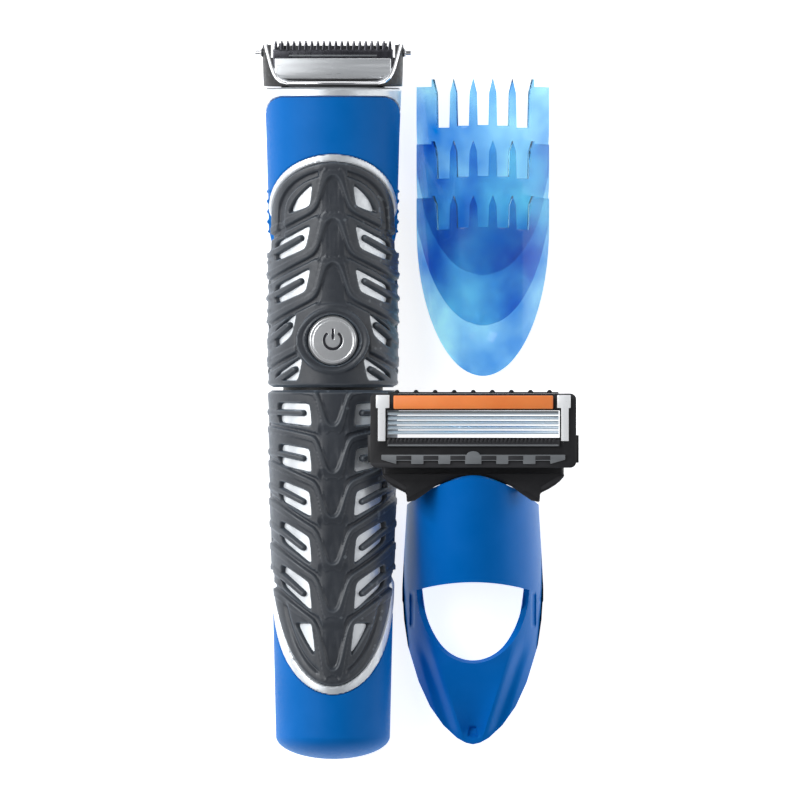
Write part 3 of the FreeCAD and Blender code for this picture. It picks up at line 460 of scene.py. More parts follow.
def lower_pattern(x, y):
    """Grip relief of the lower half: (rib amount, recess amount, window distance)."""
    ax = np.abs(x)
    rib, recess, window = plain_pattern(x)
    for row, bottom in enumerate(LOWER_ROWS):
        rise = LOWER_RISES[row]
        crest = lower_crest(ax, bottom, row)
        lead = (lower_crest(ax + SLOPE_STEP, bottom, row) - crest) / SLOPE_STEP
        offset = (crest - y) / np.sqrt(1 + lead ** 2)
        band, dark = crest_profile(offset, 0.8)
        outer = step_up(1.2, 2.6, ax)
        rib = np.maximum(rib, band)
        recess = np.maximum(recess, dark * outer * 0.7)
        tongue = step_up(0.1, 0.6, -offset) * (1 - step_up(2.3, 3.3, ax))
        tongue = tongue * (1 - step_up(bottom + 8.2, bottom + 10.0, y))
        recess = np.maximum(recess, TONGUE_SHARE * tongue)
        if row == 5:
            continue
        inner_top = bottom + 4.6 + 0.3 * row
        far = 10.9 - 0.18 * row
        corners = [(4.8, inner_top), (4.4, bottom + 0.1), (far, bottom + 0.8 + 0.78 * rise),
                   (far, inner_top + 0.2 + 0.62 * rise)]
        hole = polygon_distance(ax, y, corners)
        finger_y = bottom + 2.7 + 0.25 * row
        finger = capsule_distance(ax, y, (6.2, finger_y), (13.0, finger_y + 0.2 + rise), 0.6)
        hole = np.maximum(hole, -finger)
        window = np.minimum(window, np.where(y < COVER_TOP - 1.2, hole, FAR))
        rib = np.maximum(rib, FINGER_SHARE * (1 - step_up(-0.35, 0.25, finger)))
    last = polygon_distance(ax, y, [(4.4, -44.5), (3.6, -51.2), (5.9, -48.0), (7.5, -44.5)])
    window = np.minimum(window, last)
    border = lower_arch_distance(x, y)
    slot = bump(border - 2.2, 0.3, 0.6) * step_up(2.5, 3.2, ax) * (1 - step_up(-41.5, -39.8, y))
    return rib, np.maximum(recess, slot * 0.7), window


def front_only(z):
    """1 over the front of the handle, fading to 0 just past its widest line."""
    return step_up(-0.6, 0.8, z)


def flank_ribs(y, z, low, high, pitch):
    side = bump(z, 3.4, 2.0)
    span = step_up(low - 0.3, low + 0.3, y) * (1 - step_up(high - 0.3, high + 0.3, y))
    wave = np.clip(np.cos(2 * math.pi * (y - low) / pitch), 0, 1)
    return side * span * wave


def grip_relief(x, y, front, pattern, sides=0.0):
    """Ribs, grooves and windows of a grip, as height over its plain surface."""
    settings = bpy.context.scene.handle_settings
    rib, recess, window = pattern(x, y)
    height = 0.02 + front * (settings.rib_height / MM * rib - settings.groove_depth / MM * recess)
    height = height + sides
    return height - WINDOW_DEPTH * front * (1 - step_up(-0.18, 0.2, window))


def grip_border(height, border, fade):
    """Adds the grip's soft raised border and sinks the grip outside it."""
    height = height + 0.16 * bump(border - 0.9, 0.6, 1.0) * fade
    return np.where(border < 0.32, height - SUNK * (1 - step_up(0.02, 0.32, border)), height)


def upper_grip_height(x, y, z):
    front = front_only(z)
    sides = 0.2 * flank_ribs(y, z, UPPER_LOW + 0.8, 28.0, 2.42)
    height = grip_relief(x, y, front, upper_pattern, sides)
    ring = np.hypot(x, y - BUTTON_Y)
    level = (HALF_DEPTH + 0.12 - z) / np.clip(z / HALF_DEPTH, 0.3, 1.0)
    inside = 1 - step_up(6.35, 6.95, ring)
    height = height * (1 - inside * front) + level * inside * front
    height = height - 0.22 * bump(ring - 5.6, 0.22, 0.3) * front
    height = height - 1.6 * front * (1 - step_up(5.05, 5.2, ring))
    height = grip_border(height, upper_arch_distance(x, y), step_up(34, 37, y))
    return height - 0.9 * (1 - step_up(UPPER_LOW, UPPER_LOW + 0.6, y))


def lower_grip_height(x, y, z):
    height = grip_relief(x, y, front_only(z), lower_pattern)
    height = grip_border(height, lower_arch_distance(x, y), 1 - step_up(-37, -34, y))
    return height - 0.9 * step_up(COVER_TOP - 0.6, COVER_TOP, y)


def panel_top(x):
    """Upper edge of the blue shell, turning down towards the flanks."""
    radius = 2.9
    run = np.clip(np.abs(x) - 10.5, 0, radius)
    return 60.55 - (radius - np.sqrt(radius * radius - run * run))


def silver_rim(border, rim, fade):
    """Core sunk under grip and shell, with a crowned rim standing up between them."""
    height = np.where(border > 0, -0.8, -1.15)
    middle = border + rim / 2
    raised = bump(middle, rim / 2 + 0.1, 0.2) * fade
    crown = 0.16 - 0.1 * (middle / rim) ** 2
    return height * (1 - raised) + crown * raised


def upper_core_height(x, y, z):
    height = silver_rim(upper_arch_distance(x, y), upper_rim_width(y), step_up(34.5, 38.0, y))
    height = height * (1 - step_up(-0.12, 0.0, y - panel_top(x)))
    ring = np.hypot(x, y - BUTTON_Y)
    height = height - 1.5 * front_only(z) * (1 - step_up(5.1, 5.4, ring))
    height = height - 0.5 * step_up(CORE_TOP - 0.5, CORE_TOP, y)
    return np.maximum(height - 0.6 * (1 - step_up(UPPER_LOW, UPPER_LOW + 0.6, y)), -2.2)


def upper_shell_height(x, y, z):
    border = upper_arch_distance(x, y) + upper_rim_width(y)
    height = -SUNK * step_up(-0.22, 0.05, border)
    height = np.minimum(height, -SUNK * step_up(-0.25, 0.03, y - panel_top(x)))
    ribs = 0.34 * flank_ribs(y, z, 29.5, 42.0, 2.05)
    return height + ribs * (height > -0.2)


def lower_core_height(x, y, z):
    height = silver_rim(lower_arch_distance(x, y), lower_rim_width(y),
                        1 - step_up(-37.0, -33.5, y))
    return height - 0.6 * step_up(COVER_TOP - 0.6, COVER_TOP, y)


def lower_shell_height(x, y, z):
    border = lower_arch_distance(x, y) + lower_rim_width(y)
    return -SUNK * step_up(-0.22, 0.05, border)


def tube_positions(angle, y, height_of, shrink=0.0):
    """Points on the handle's oval surface, lifted along its normal by height_of."""
    wide = half_width(y) - shrink
    deep = HALF_DEPTH - shrink
    x = wide * np.sin(angle)
    z = deep * np.cos(angle)
    nx = deep * np.sin(angle)
    nz = wide * np.cos(angle)
    length = np.hypot(nx, nz)
    lift = height_of(x, y, z)
    height = np.maximum(HANDLE_Z + z + lift * nz / length, 0.0)
    return np.stack([(HANDLE_X + x + lift * nx / length) * MM, y * MM, height * MM], axis=1)


def angle_stations(step):
    """Angles round the handle, step millimetres apart over the front and wider behind."""
    edge = math.radians(100)
    front = np.linspace(-edge, edge, int(FRONT_DETAIL / step))
    back = np.linspace(edge, 2 * math.pi - edge, BACK_COLUMNS + 1)[1:]
    return np.concatenate([front, back])


def relief_tube(low_y, high_y, height_of, wall, spacing=None):
    """Open tube with moulded relief outside and a plain wall inside."""
    step = spacing or bpy.context.scene.handle_settings.grid_spacing / MM
    angles = angle_stations(step)
    columns = len(angles) - 1
    piece, flat = make_grid(columns, int((high_y - low_y) / step))
    column = np.rint((flat[:, 0] + 1) / 2 * columns).astype(int)
    y = low_y + (flat[:, 1] + 1) / 2 * (high_y - low_y)
    store_vertices(piece.data, tube_positions(angles[column], y, height_of))
    edit_all(piece)
    bpy.ops.mesh.remove_doubles(threshold=1e-7)
    close_inner_wall(piece, low_y, high_y, wall)
    return piece


def close_inner_wall(piece, low_y, high_y, wall):
    """Turns both open ends of a tube inwards and joins them with an inner wall."""
    select_open_edges()
    bpy.ops.mesh.extrude_region_move()
    bpy.ops.object.mode_set(mode="OBJECT")
    mesh = piece.data
    chosen = np.empty(len(mesh.vertices), bool)
    mesh.vertices.foreach_get("select", chosen)
    coords = vertex_array(mesh)
    ring = coords[chosen] / MM
    y = np.where(ring[:, 1] > (low_y + high_y) / 2, high_y, low_y)
    wide = half_width(y)
    angle = np.arctan2((ring[:, 0] - HANDLE_X) / wide, (ring[:, 2] - HANDLE_Z) / HALF_DEPTH)
    coords[chosen] = tube_positions(angle, y, lambda *place: 0.0 * y, wall)
    store_vertices(mesh, coords)
    bpy.ops.object.mode_set(mode="EDIT")
    bpy.ops.mesh.bridge_edge_loops()
    close_edit()
    shade(piece, 55)


# ------------------------------------------------------------------ materials

def new_group(name, inputs, outputs):
    group = bpy.data.node_groups.new(name, "ShaderNodeTree")
    for label, default in inputs:
        socket = group.interface.new_socket(label, in_out="INPUT", socket_type="NodeSocketFloat")
        socket.default_value = default
    group.interface.new_socket("Vector", in_out="INPUT", socket_type="NodeSocketVector")
    for label in outputs:
        group.interface.new_socket(label, in_out="OUTPUT", socket_type="NodeSocketFloat")
    return group


def add_node(tree, kind, **values):
    item = tree.nodes.new(kind)
    for key, value in values.items():
        setattr(item, key, value)
    return item


def set_inputs(item, **values):
    for key, value in values.items():
        item.inputs[key.replace("_", " ")].default_value = value
    return item


def grain_group():
    """Fine moulded or ground grain: a bump height and two slow variation masks."""
    name = "surface_grain"
    if name in bpy.data.node_groups:
        return bpy.data.node_groups[name]
    tree = new_group(name, [("Grain Scale", 4000.0), ("Patch Scale", 120.0)],
                     ["Height", "Patches", "Specks"])
    enter = add_node(tree, "NodeGroupInput")
    leave = add_node(tree, "NodeGroupOutput")
    fine = set_inputs(add_node(tree, "ShaderNodeTexNoise"), Detail=4.0, Roughness=0.62)
    slow = set_inputs(add_node(tree, "ShaderNodeTexNoise"), Detail=3.0, Roughness=0.5)
    speck = set_inputs(add_node(tree, "ShaderNodeTexNoise"), Detail=2.0, Roughness=0.7)
    double = add_node(tree, "ShaderNodeMath", operation="MULTIPLY")
    double.inputs[1].default_value = 0.35
    link = tree.links.new
    link(enter.outputs["Grain Scale"], fine.inputs["Scale"])
    link(enter.outputs["Patch Scale"], slow.inputs["Scale"])
    link(enter.outputs["Grain Scale"], double.inputs[0])
    link(double.outputs[0], speck.inputs["Scale"])
    for noise, output in ((fine, "Height"), (slow, "Patches"), (speck, "Specks")):
        link(enter.outputs["Vector"], noise.inputs["Vector"])
        link(noise.outputs["Fac"], leave.inputs[output])
    return tree


def wear_and_highlight_edges(tree, colour_out, wear_and_highlight, wear_and_highlight_colour):
    """Mixes a lighter colour into a colour where the surface has an outer edge: a painted edge
    highlight, with edge wear on some finishes.
    """
    link = tree.links.new
    edge = add_node(tree, "ShaderNodeNewGeometry")
    edge_ramp = add_node(tree, "ShaderNodeMapRange")
    set_inputs(edge_ramp, From_Min=0.505, From_Max=0.58, To_Min=0.0, To_Max=wear_and_highlight)
    link(edge.outputs["Pointiness"], edge_ramp.inputs["Value"])
    mixer = add_node(tree, "ShaderNodeMix", data_type="RGBA")
    link(edge_ramp.outputs["Result"], mixer.inputs["Factor"])
    link(colour_out, mixer.inputs[6])
    mixer.inputs[7].default_value = (*wear_and_highlight_colour, 1)
    return mixer.outputs[2]


def finish_material(name, colour, roughness, grain=3500.0, patches=110.0, bump_size=0.012,
                    colour_drift=0.12, rough_drift=0.08, stretch=(1, 1, 1), wear_and_highlight=0.0,
                    wear_and_highlight_colour=None, two_tone=None):
    """Principled material whose colour, roughness and bump vary with the surface grain."""
    material = bpy.data.materials.new(name)
    material.use_nodes = True
    tree = material.node_tree
    link = tree.links.new
    shader = tree.nodes["Principled BSDF"]
    place = add_node(tree, "ShaderNodeTexCoord")
    turn = add_node(tree, "ShaderNodeMapping")
    turn.inputs["Scale"].default_value = stretch
    grain_item = set_inputs(add_node(tree, "ShaderNodeGroup", node_tree=grain_group()),
                            Grain_Scale=grain, Patch_Scale=patches)
    link(place.outputs["Object"], turn.inputs["Vector"])
    link(turn.outputs["Vector"], grain_item.inputs["Vector"])
    ramp = add_node(tree, "ShaderNodeValToRGB")
    dark = [c * (1 - colour_drift) for c in colour]
    light = [min(1.0, c * (1 + colour_drift) + 0.004) for c in colour]
    if two_tone:
        dark, light = two_tone
    for stop, place_on, tone in zip(ramp.color_ramp.elements, (0.3, 0.7), (dark, light)):
        stop.position = place_on
        stop.color = (*tone, 1)
    link(grain_item.outputs["Patches"], ramp.inputs["Fac"])
    colour_out = ramp.outputs["Color"]
    # Lighter outer edges: a painted edge highlight, partly edge wear.
    if wear_and_highlight > 0:
        colour_out = wear_and_highlight_edges(tree, colour_out, wear_and_highlight, wear_and_highlight_colour)
    link(colour_out, shader.inputs["Base Color"])
    span = add_node(tree, "ShaderNodeMapRange")
    set_inputs(span, From_Min=0.3, From_Max=0.7, To_Min=max(0.02, roughness - rough_drift),
               To_Max=min(1.0, roughness + rough_drift))
    link(grain_item.outputs["Specks"], span.inputs["Value"])
    link(span.outputs["Result"], shader.inputs["Roughness"])
    relief = set_inputs(add_node(tree, "ShaderNodeBump"), Strength=1.0, Distance=bump_size * MM)
    link(grain_item.outputs["Height"], relief.inputs["Height"])
    link(relief.outputs["Normal"], shader.inputs["Normal"])
    return material


def set_shader(material, **values):
    set_inputs(material.node_tree.nodes["Principled BSDF"], **values)
    return material


MATERIALS = {}


def finish_rows(colours):
    """Rows of slot or finish, material name, colour, roughness, grain values, shader values."""
    return (
        ("blue_body", "blue_body_paint", colours.body_blue, 0.42,
         dict(bump_size=0.002, colour_drift=0.04),
         dict(Specular_IOR_Level=0.08, Sheen_Weight=0.22, Sheen_Roughness=0.35,
              Sheen_Tint=(0.0, 0.45, 1.0, 1.0))),
        # The rubber's lighter ridge edges are a painted highlight.
        ("grip_rubber", "grip_rubber_moulded", colours.grip, 0.4,
         dict(grain=2600.0, bump_size=0.02, colour_drift=0.15, wear_and_highlight=0.55,
              wear_and_highlight_colour=(0.15, 0.17, 0.19)),
         dict(Specular_IOR_Level=0.5, Sheen_Weight=0.22, Sheen_Tint=(0.55, 0.75, 1.0, 1.0))),
        ("satin_silver", "satin_silver_paint", (0.74, 0.77, 0.8), 0.36,
         dict(bump_size=0.006, colour_drift=0.04), dict(Metallic=0.55)),
        ("chrome_trim", "chrome_trim_plate", (0.86, 0.87, 0.89), 0.09,
         dict(bump_size=0.001, colour_drift=0.02, rough_drift=0.04), dict(Metallic=1.0)),
        ("button_satin", "button_satin_plate", (0.86, 0.87, 0.88), 0.3,
         dict(grain=5000.0, bump_size=0.0001, colour_drift=0.02, rough_drift=0.02),
         dict(Metallic=0.85)),
        ("satin_metal", "satin_metal_brushed", (0.72, 0.74, 0.76), 0.3,
         dict(grain=3000.0, bump_size=0.004, stretch=(0.06, 1, 1), colour_drift=0.06),
         dict(Metallic=0.95)),
        ("plate_satin", "plate_satin_brushed", (0.8, 0.82, 0.84), 0.34,
         dict(grain=3000.0, bump_size=0.002, stretch=(0.05, 1, 1), colour_drift=0.03),
         dict(Metallic=0.7)),
        ("cutter_steel", "cutter_steel_ground", (0.1, 0.1, 0.115), 0.3,
         dict(grain=3000.0, bump_size=0.004, stretch=(1, 0.08, 1), colour_drift=0.1),
         dict(Metallic=0.9)),
        ("razor_steel", "razor_steel_honed", (0.72, 0.82, 0.9), 0.3,
         dict(grain=3000.0, bump_size=0.002, stretch=(0.05, 1, 1)), dict(Metallic=0.55)),
        ("clip_metal", "clip_metal_bright", (0.95, 0.96, 0.97), 0.35,
         dict(grain=6000.0, bump_size=0.0003, colour_drift=0.02), dict(Metallic=0.15)),
        # The black plastic's lighter edges are partly edge wear and partly a painted highlight.
        ("black_plastic", "black_plastic_textured", (0.008, 0.008, 0.009), 0.4,
         dict(grain=3200.0, bump_size=0.008, wear_and_highlight=0.25, wear_and_highlight_colour=(0.1, 0.1, 0.11)),
         dict(Specular_IOR_Level=0.3)),
        ("trim_grey", "trim_grey_satin", (0.16, 0.17, 0.18), 0.4, dict(bump_size=0.01), {}),
        ("contact_brass", "contact_brass_stamped", (0.72, 0.55, 0.26), 0.28, {},
         dict(Metallic=1.0)),
        ("cell_sleeve", "cell_sleeve_film", (0.1, 0.11, 0.13), 0.3, {}, {}),
        ("board_green", "board_green_lacquer", (0.03, 0.2, 0.08), 0.35, {}, {}),
        ("comb_blue", "comb_blue_clear", colours.comb_blue, 0.06,
         dict(patches=75.0, bump_size=0.002, rough_drift=0.03,
              two_tone=((0.0, 0.2, 0.72), (0.42, 0.86, 1.0))),
         dict(Transmission_Weight=0.9, IOR=1.38)),
        ("adapter_blue", "adapter_blue_gloss", colours.adapter_blue, 0.3,
         dict(bump_size=0.0002, colour_drift=0.04, rough_drift=0.02),
         dict(Specular_IOR_Level=0.12, Specular_Tint=(0.1, 0.7, 1.0, 1.0), Sheen_Weight=0.25,
              Sheen_Roughness=0.35, Sheen_Tint=(0.0, 0.45, 1.0, 1.0))),
        ("lube_orange", "lube_orange_wax", colours.strip_orange, 0.42,
         dict(grain=1800.0, bump_size=0.012, colour_drift=0.1),
         dict(Subsurface_Weight=0.15, Subsurface_Scale=0.001)),
    )


def build_materials():
    for key, name, colour, roughness, grain, shader in finish_rows(bpy.context.scene.colour_settings):
        MATERIALS[key] = set_shader(finish_material(name, colour, roughness, **grain), **shader)


def dress_frame_nodes():
    """Gives every frame node the finish of its slot."""
    for name, node in frame["nodes"].items():
        material = MATERIALS[SLOTS[name]]
        if not node.data.materials:
            node.data.materials.append(material)
        for index in range(len(node.material_slots)):
            node.material_slots[index].material = material


# ------------------------------------------------------------------ handle pieces

class BUILD_OT_finishes(Operator):
    """Makes the materials and gives each frame node the finish of its slot"""
    bl_idname = "groomer.finishes"
    bl_label = "Make Finishes"

    def execute(self, context):
        build_materials()
        dress_frame_nodes()
        return {"FINISHED"}


class BUILD_OT_upper_handle(Operator):
    """Builds the upper half: silver core, blue shell and moulded grip"""
    bl_idname = "groomer.upper_handle"
    bl_label = "Build Upper Handle"

    def execute(self, context):
        core = relief_tube(UPPER_LOW, CORE_TOP, upper_core_height, CORE_WALL, 0.24)
        finish_piece(core, "upper_core_skin", "handle", "satin_silver",
                     nodes=["upper_core"])
        shell = relief_tube(28.5, 60.75, upper_shell_height, SKIN_WALL, 0.22)
        finish_piece(shell, "upper_shell_skin", "handle", "blue_body",
                     nodes=["upper_blue_shell"])
        grip = relief_tube(UPPER_LOW, 48.0, upper_grip_height, SKIN_WALL)
        finish_piece(grip, "upper_grip_skin", "handle", "grip_rubber",
                     nodes=["upper_grip"])
        return {"FINISHED"}


def shrink_ends(share, y):
    """Draws the selected edges in towards the handle's axis."""
    bpy.ops.transform.resize(value=(share, 1, share),
                             center_override=(HANDLE_X * MM, y * MM, HANDLE_Z * MM))


def dome_tube():
    """Blue shell of the cover with its rounded end closed to a point."""
    step = 0.24
    angles = angle_stations(step)
    columns = len(angles) - 1
    straight_top = -30.0
    rows = int((straight_top - CAP_HIGH) / step) + DOME_ROWS
    piece, flat = make_grid(columns, rows)
    column = np.rint((flat[:, 0] + 1) / 2 * columns).astype(int)
    row = np.rint((flat[:, 1] + 1) / 2 * rows)
    tilt = np.clip((DOME_ROWS - row) / DOME_ROWS, 0, 1) * math.pi / 2
    straight = CAP_HIGH + (row - DOME_ROWS) * (straight_top - CAP_HIGH) / (rows - DOME_ROWS)
    y = np.where(row >= DOME_ROWS, straight, CAP_HIGH - (CAP_HIGH - CAP_LOW) * np.sin(tilt))
    coords = tube_positions(angles[column], np.maximum(y, CAP_HIGH), lower_shell_height)
    shrink = np.cos(tilt)
    coords[:, 0] = HANDLE_X * MM + (coords[:, 0] - HANDLE_X * MM) * shrink
    coords[:, 2] = HANDLE_Z * MM + (coords[:, 2] - HANDLE_Z * MM) * shrink
    coords[:, 1] = y * MM
    store_vertices(piece.data, coords)
    edit_all(piece)
    bpy.ops.mesh.remove_doubles(threshold=1e-7)
    select_open_edges()
    bpy.ops.mesh.extrude_region_move()
    shrink_ends(0.9, straight_top)
    bpy.ops.mesh.extrude_region_move(TRANSFORM_OT_translate={"value": (0, -0.036, 0)})
    shrink_ends(0.95, straight_top)
    bpy.ops.mesh.edge_face_add()
    close_edit()
    shade(piece, 50)
    return piece


class BUILD_OT_battery_cover(Operator):
    """Builds the lower half: silver core, blue shell with rounded end, moulded grip"""
    bl_idname = "groomer.battery_cover"
    bl_label = "Build Battery Cover"

    def execute(self, context):
        core = relief_tube(CAP_HIGH + 0.2, COVER_TOP, lower_core_height, CORE_WALL, 0.26)
        finish_piece(core, "lower_core_skin", "battery_cover", "satin_silver",
                     nodes=["lower_core"])
        finish_piece(dome_tube(), "lower_shell_skin", "battery_cover", "blue_body",
                     nodes=["lower_blue_shell", "end_cap"])
        grip = relief_tube(-58.2, COVER_TOP, lower_grip_height, SKIN_WALL)
        finish_piece(grip, "lower_grip_skin", "battery_cover", "grip_rubber",
                     nodes=["lower_grip"])
        return {"FINISHED"}


def button_symbol_depth(x, y):
    """Depth mask of the generic on/off mark: an open ring with a bar."""
    ring = np.hypot(x, y)
    opening = np.degrees(np.abs(np.arctan2(x, y)))
    arc = bump(ring - 1.75, 0.26, 0.12) * step_up(34, 40, opening)
    bar = bump(x, 0.24, 0.12) * step_up(0.1, 0.25, y) * (1 - step_up(2.25, 2.4, y))
    return np.maximum(arc, bar)


def button_cap(radius, top):
    """Domed cap with an engraved ring and mark, closed underneath."""
    piece, flat = make_grid(150, 150)
    flat = flat[:, :2]
    reach = np.maximum(np.abs(flat[:, 0]), np.abs(flat[:, 1]))
    length = np.hypot(flat[:, 0], flat[:, 1]) + 1e-12
    disc = flat * (reach / length)[:, None]
    ring = np.hypot(disc[:, 0], disc[:, 1])
    x, y = disc[:, 0] * radius, disc[:, 1] * radius
    height = top - 0.12 * ring ** 2 - 0.5 * step_up(0.9, 1.0, ring) ** 2
    height = height - 0.13 * bump(ring - 0.83, 0.015, 0.03)
    height = height - 0.2 * button_symbol_depth(x, y)
    place_grid(piece, HANDLE_X + x, BUTTON_Y + y, height)
    edit_all(piece)
    select_open_edges()
    bpy.ops.mesh.extrude_region_move(TRANSFORM_OT_translate={"value": (0, 0, -0.0011)})
    bpy.ops.mesh.edge_face_add()
    close_edit()
    shade(piece, 45)
    return piece


def darken_mark(piece, top):
    """Gives the faces in the engraved mark a dark finish."""
    piece.data.materials.append(MATERIALS["cutter_steel"])
    centres = np.empty(len(piece.data.polygons) * 3)
    piece.data.polygons.foreach_get("center", centres)
    centres = centres.reshape(-1, 3) / MM
    mark = button_symbol_depth(centres[:, 0] - HANDLE_X, centres[:, 1] - BUTTON_Y) > 0.5
    mark = mark & (centres[:, 2] > top - 0.6)
    piece.data.polygons.foreach_set("material_index", mark.astype(np.int32))


class BUILD_OT_power_button(Operator):
    """Builds the round power button with its engraved mark"""
    bl_idname = "groomer.power_button"
    bl_label = "Build Power Button"

    def execute(self, context):
        radius = float(BUTTON_HIGH[0] - BUTTON_LOW[0]) / 2
        low, top = float(BUTTON_LOW[2]), float(BUTTON_HIGH[2])
        cap = button_cap(radius, top)
        stem = make_stem(1.5, HANDLE_X, BUTTON_Y, low, top - 1.4)
        whole = join_pieces([cap, stem])
        finish_piece(whole, "power_button_cap", "button", "satin_metal", "button_satin",
                     ["power_button"])
        darken_mark(whole, top)
        return {"FINISHED"}


# ------------------------------------------------------------------ refined frame shapes

# Node, edge rounding in millimetres and body of each copy made from the frame's own shape.
REFINED = (
    ("head_base", 0.15, "trimmer_head"), ("head_frame", 0.2, "trimmer_head"),
    ("moving_blade", 0.05, "cutter"), ("rear_guard", 0.12, "trimmer_head"),
    ("comb_pin_right", 0.08, "trimmer_head"), ("comb_pin_left", 0.08, "trimmer_head"),
    ("comb_long", 0.3, "long_comb"), ("comb_medium", 0.3, "medium_comb"),
    ("comb_short", 0.3, "short_comb"), ("adapter_dock", 0.25, "adapter"),
    ("cartridge_frame", 0.4, "cartridge"), ("lubricating_strip", 0.25, "cartridge"),
    ("blade_clip_left", 0.12, "cartridge"), ("blade_clip_right", 0.12, "cartridge"),
    ("fin_guard", 0.06, "cartridge"), ("trimmer_guard", 0.1, "cartridge"),
)
OTHER_FINISH = {"head_frame": "black_plastic", "fin_guard": "black_plastic",
                "blade_clip_left": "clip_metal", "blade_clip_right": "clip_metal"}
DOCK_SQUEEZE = 0.94


class BUILD_OT_refined(Operator):
    """Rounds the edges of the head, combs, adapter and cartridge"""
    bl_idname = "groomer.refined"
    bl_label = "Refine Attachments"

    def execute(self, context):
        for node, width, body in REFINED:
            piece = refined_copy(node, width)
            if node == "adapter_dock":
                coords = vertex_array(piece.data)
                coords[:, 0] = RAZOR_X * MM + (coords[:, 0] - RAZOR_X * MM) * DOCK_SQUEEZE
                store_vertices(piece.data, coords)
            finish_piece(piece, node + "_fine", body, SLOTS[node], OTHER_FINISH.get(node, ""),
                         [node])
        return {"FINISHED"}


# ------------------------------------------------------------------ trimmer head

HEAD_SKIN = 0.7
TEETH = 20
TOOTH_PITCH = 1.2
BLADE_HALF = 12.0
RIM_OUTER = ((0, 62.95), (6.5, 62.95), (9.2, 63.0), (10.6, 63.35), (11.5, 64.1), (12.1, 65.1),
             (12.6, 66.4), (13.2, 68.6), (13.9, 71.2))
RIM_INNER = ((0, 63.75), (6.5, 63.75), (8.9, 63.8), (10.0, 64.1), (10.8, 64.7), (11.35, 65.5),
             (11.75, 66.6), (12.35, 68.7), (13.0, 71.1))
CHEEK_OUTER = ((0, 62.8), (6.5, 62.8), (9.6, 62.8), (12.6, 62.9), (13.3, 63.6), (13.4, 64.8),
               (13.5, 66.2), (13.75, 68.6), (13.98, 71.1))


def head_front_height(x, y):
    """Height of the head's rounded front, falling towards the blades."""
    stations = (BLADE_TIP - 9.05, BLADE_TIP - 5.55, BLADE_TIP - 0.8)
    wide = np.interp(y, stations, (13.85, 14.0, 14.1))
    deep = np.interp(y, stations, (HALF_DEPTH, 10.4, 7.0))
    return HANDLE_Z + deep * np.sqrt(np.clip(1 - (x / wide) ** 2, 0.02, 1))


def head_band(outer, inner, lift, crown, drop):
    """U-shaped band laid on the head's front between two lines, right half given."""
    piece, flat = make_grid(144, 8)
    along = np.abs(flat[:, 0]) * (len(outer) - 1)
    side = np.sign(flat[:, 0])
    across = (flat[:, 1] + 1) / 2
    marks = np.arange(len(outer))
    edges = []
    for line in (outer, inner):
        line = np.array(line, float)
        edges.append((np.interp(along, marks, line[:, 0]), np.interp(along, marks, line[:, 1])))
    x = edges[0][0] * (1 - across) + edges[1][0] * across
    y = edges[0][1] * (1 - across) + edges[1][1] * across
    z = head_front_height(x, y) + lift + crown * np.sin(np.pi * across) - drop * across ** 2
    place_grid(piece, HANDLE_X + side * x, y, z)
    thicken(piece, HEAD_SKIN)
    shade(piece, 40)
    return piece


def toothed_outline(low_y, root_y, tip_y):
    """Outline of a blade with pointed teeth, anticlockwise from its lower left corner."""
    points = [(-BLADE_HALF, low_y), (BLADE_HALF, low_y), (BLADE_HALF, root_y)]
    for number in reversed(range(TEETH)):
        x = (number - (TEETH - 1) / 2) * TOOTH_PITCH
        points += [(x + 0.34, root_y), (x + 0.3, tip_y - 0.75), (x + 0.12, tip_y),
                   (x - 0.12, tip_y), (x - 0.3, tip_y - 0.75), (x - 0.34, root_y)]
    points.append((-BLADE_HALF, root_y))
    return [(HANDLE_X + x, y) for x, y in points]


def rounded_plate_outline(half, low_y, high_y, radius):
    """Plate outline with its two lower corners rounded."""
    points = [(half, high_y), (-half, high_y)]
    for side in (-1, 1):
        centre = side * (half - radius)
        for step in range(7):
            turn = math.radians(15 * step if side < 0 else 90 - 15 * step)
            points.append((centre + side * radius * math.cos(turn),
                           low_y + radius - radius * math.sin(turn)))
    return [(HANDLE_X + x, y) for x, y in points]


def front_plate():
    low, high = box_mm("front_plate")
    outline = rounded_plate_outline(float(high[0] - low[0]) / 2, float(low[1]), float(high[1]), 1.2)
    return make_prism(outline, float(low[2]), float(high[2]), 0.22)


def toothed_blade(low, high_z):
    """Fixed blade with its teeth and the raised step behind them."""
    outline = toothed_outline(float(low[1]), BLADE_TIP - 1.75, BLADE_TIP - 0.02)
    blade = make_prism(outline, float(low[2]), high_z, 0.09, 2)
    step = make_block((HANDLE_X - 11.9, 68.35, high_z - 0.1),
                      (HANDLE_X + 11.9, 69.75, high_z + 0.5), 0.12)
    return blade, step


class BUILD_OT_trimmer_head(Operator):
    """Builds the head's bright rim, dark cheeks, front plate and toothed blade"""
    bl_idname = "groomer.trimmer_head"
    bl_label = "Build Trimmer Head"

    def execute(self, context):
        rim = head_band(RIM_OUTER, RIM_INNER, 0.1, 0.28, 0.5)
        cheeks = head_band(CHEEK_OUTER, RIM_OUTER, 0.02, 0.05, 0.0)
        finish_piece(rim, "head_rim", "trimmer_head", "chrome_trim")
        finish_piece(cheeks, "head_cheeks", "trimmer_head", "black_plastic")
        finish_piece(front_plate(), "front_plate_satin", "trimmer_head", "satin_metal",
                     "plate_satin", ["front_plate"])
        low, high = box_mm("fixed_blade")
        high_z = float(high[2])
        blade, step = toothed_blade(low, high_z)
        strip = make_block((HANDLE_X - 8.8, 68.62, high_z + 0.4),
                           (HANDLE_X + 8.8, 68.95, high_z + 0.66), 0.08)
        finish_piece(join_pieces([blade, step]), "fixed_blade_teeth", "trimmer_head",
                     "cutter_steel", nodes=["fixed_blade"])
        finish_piece(strip, "blade_strip", "trimmer_head", "trim_grey")
        return {"FINISHED"}


# ------------------------------------------------------------------ razor adapter

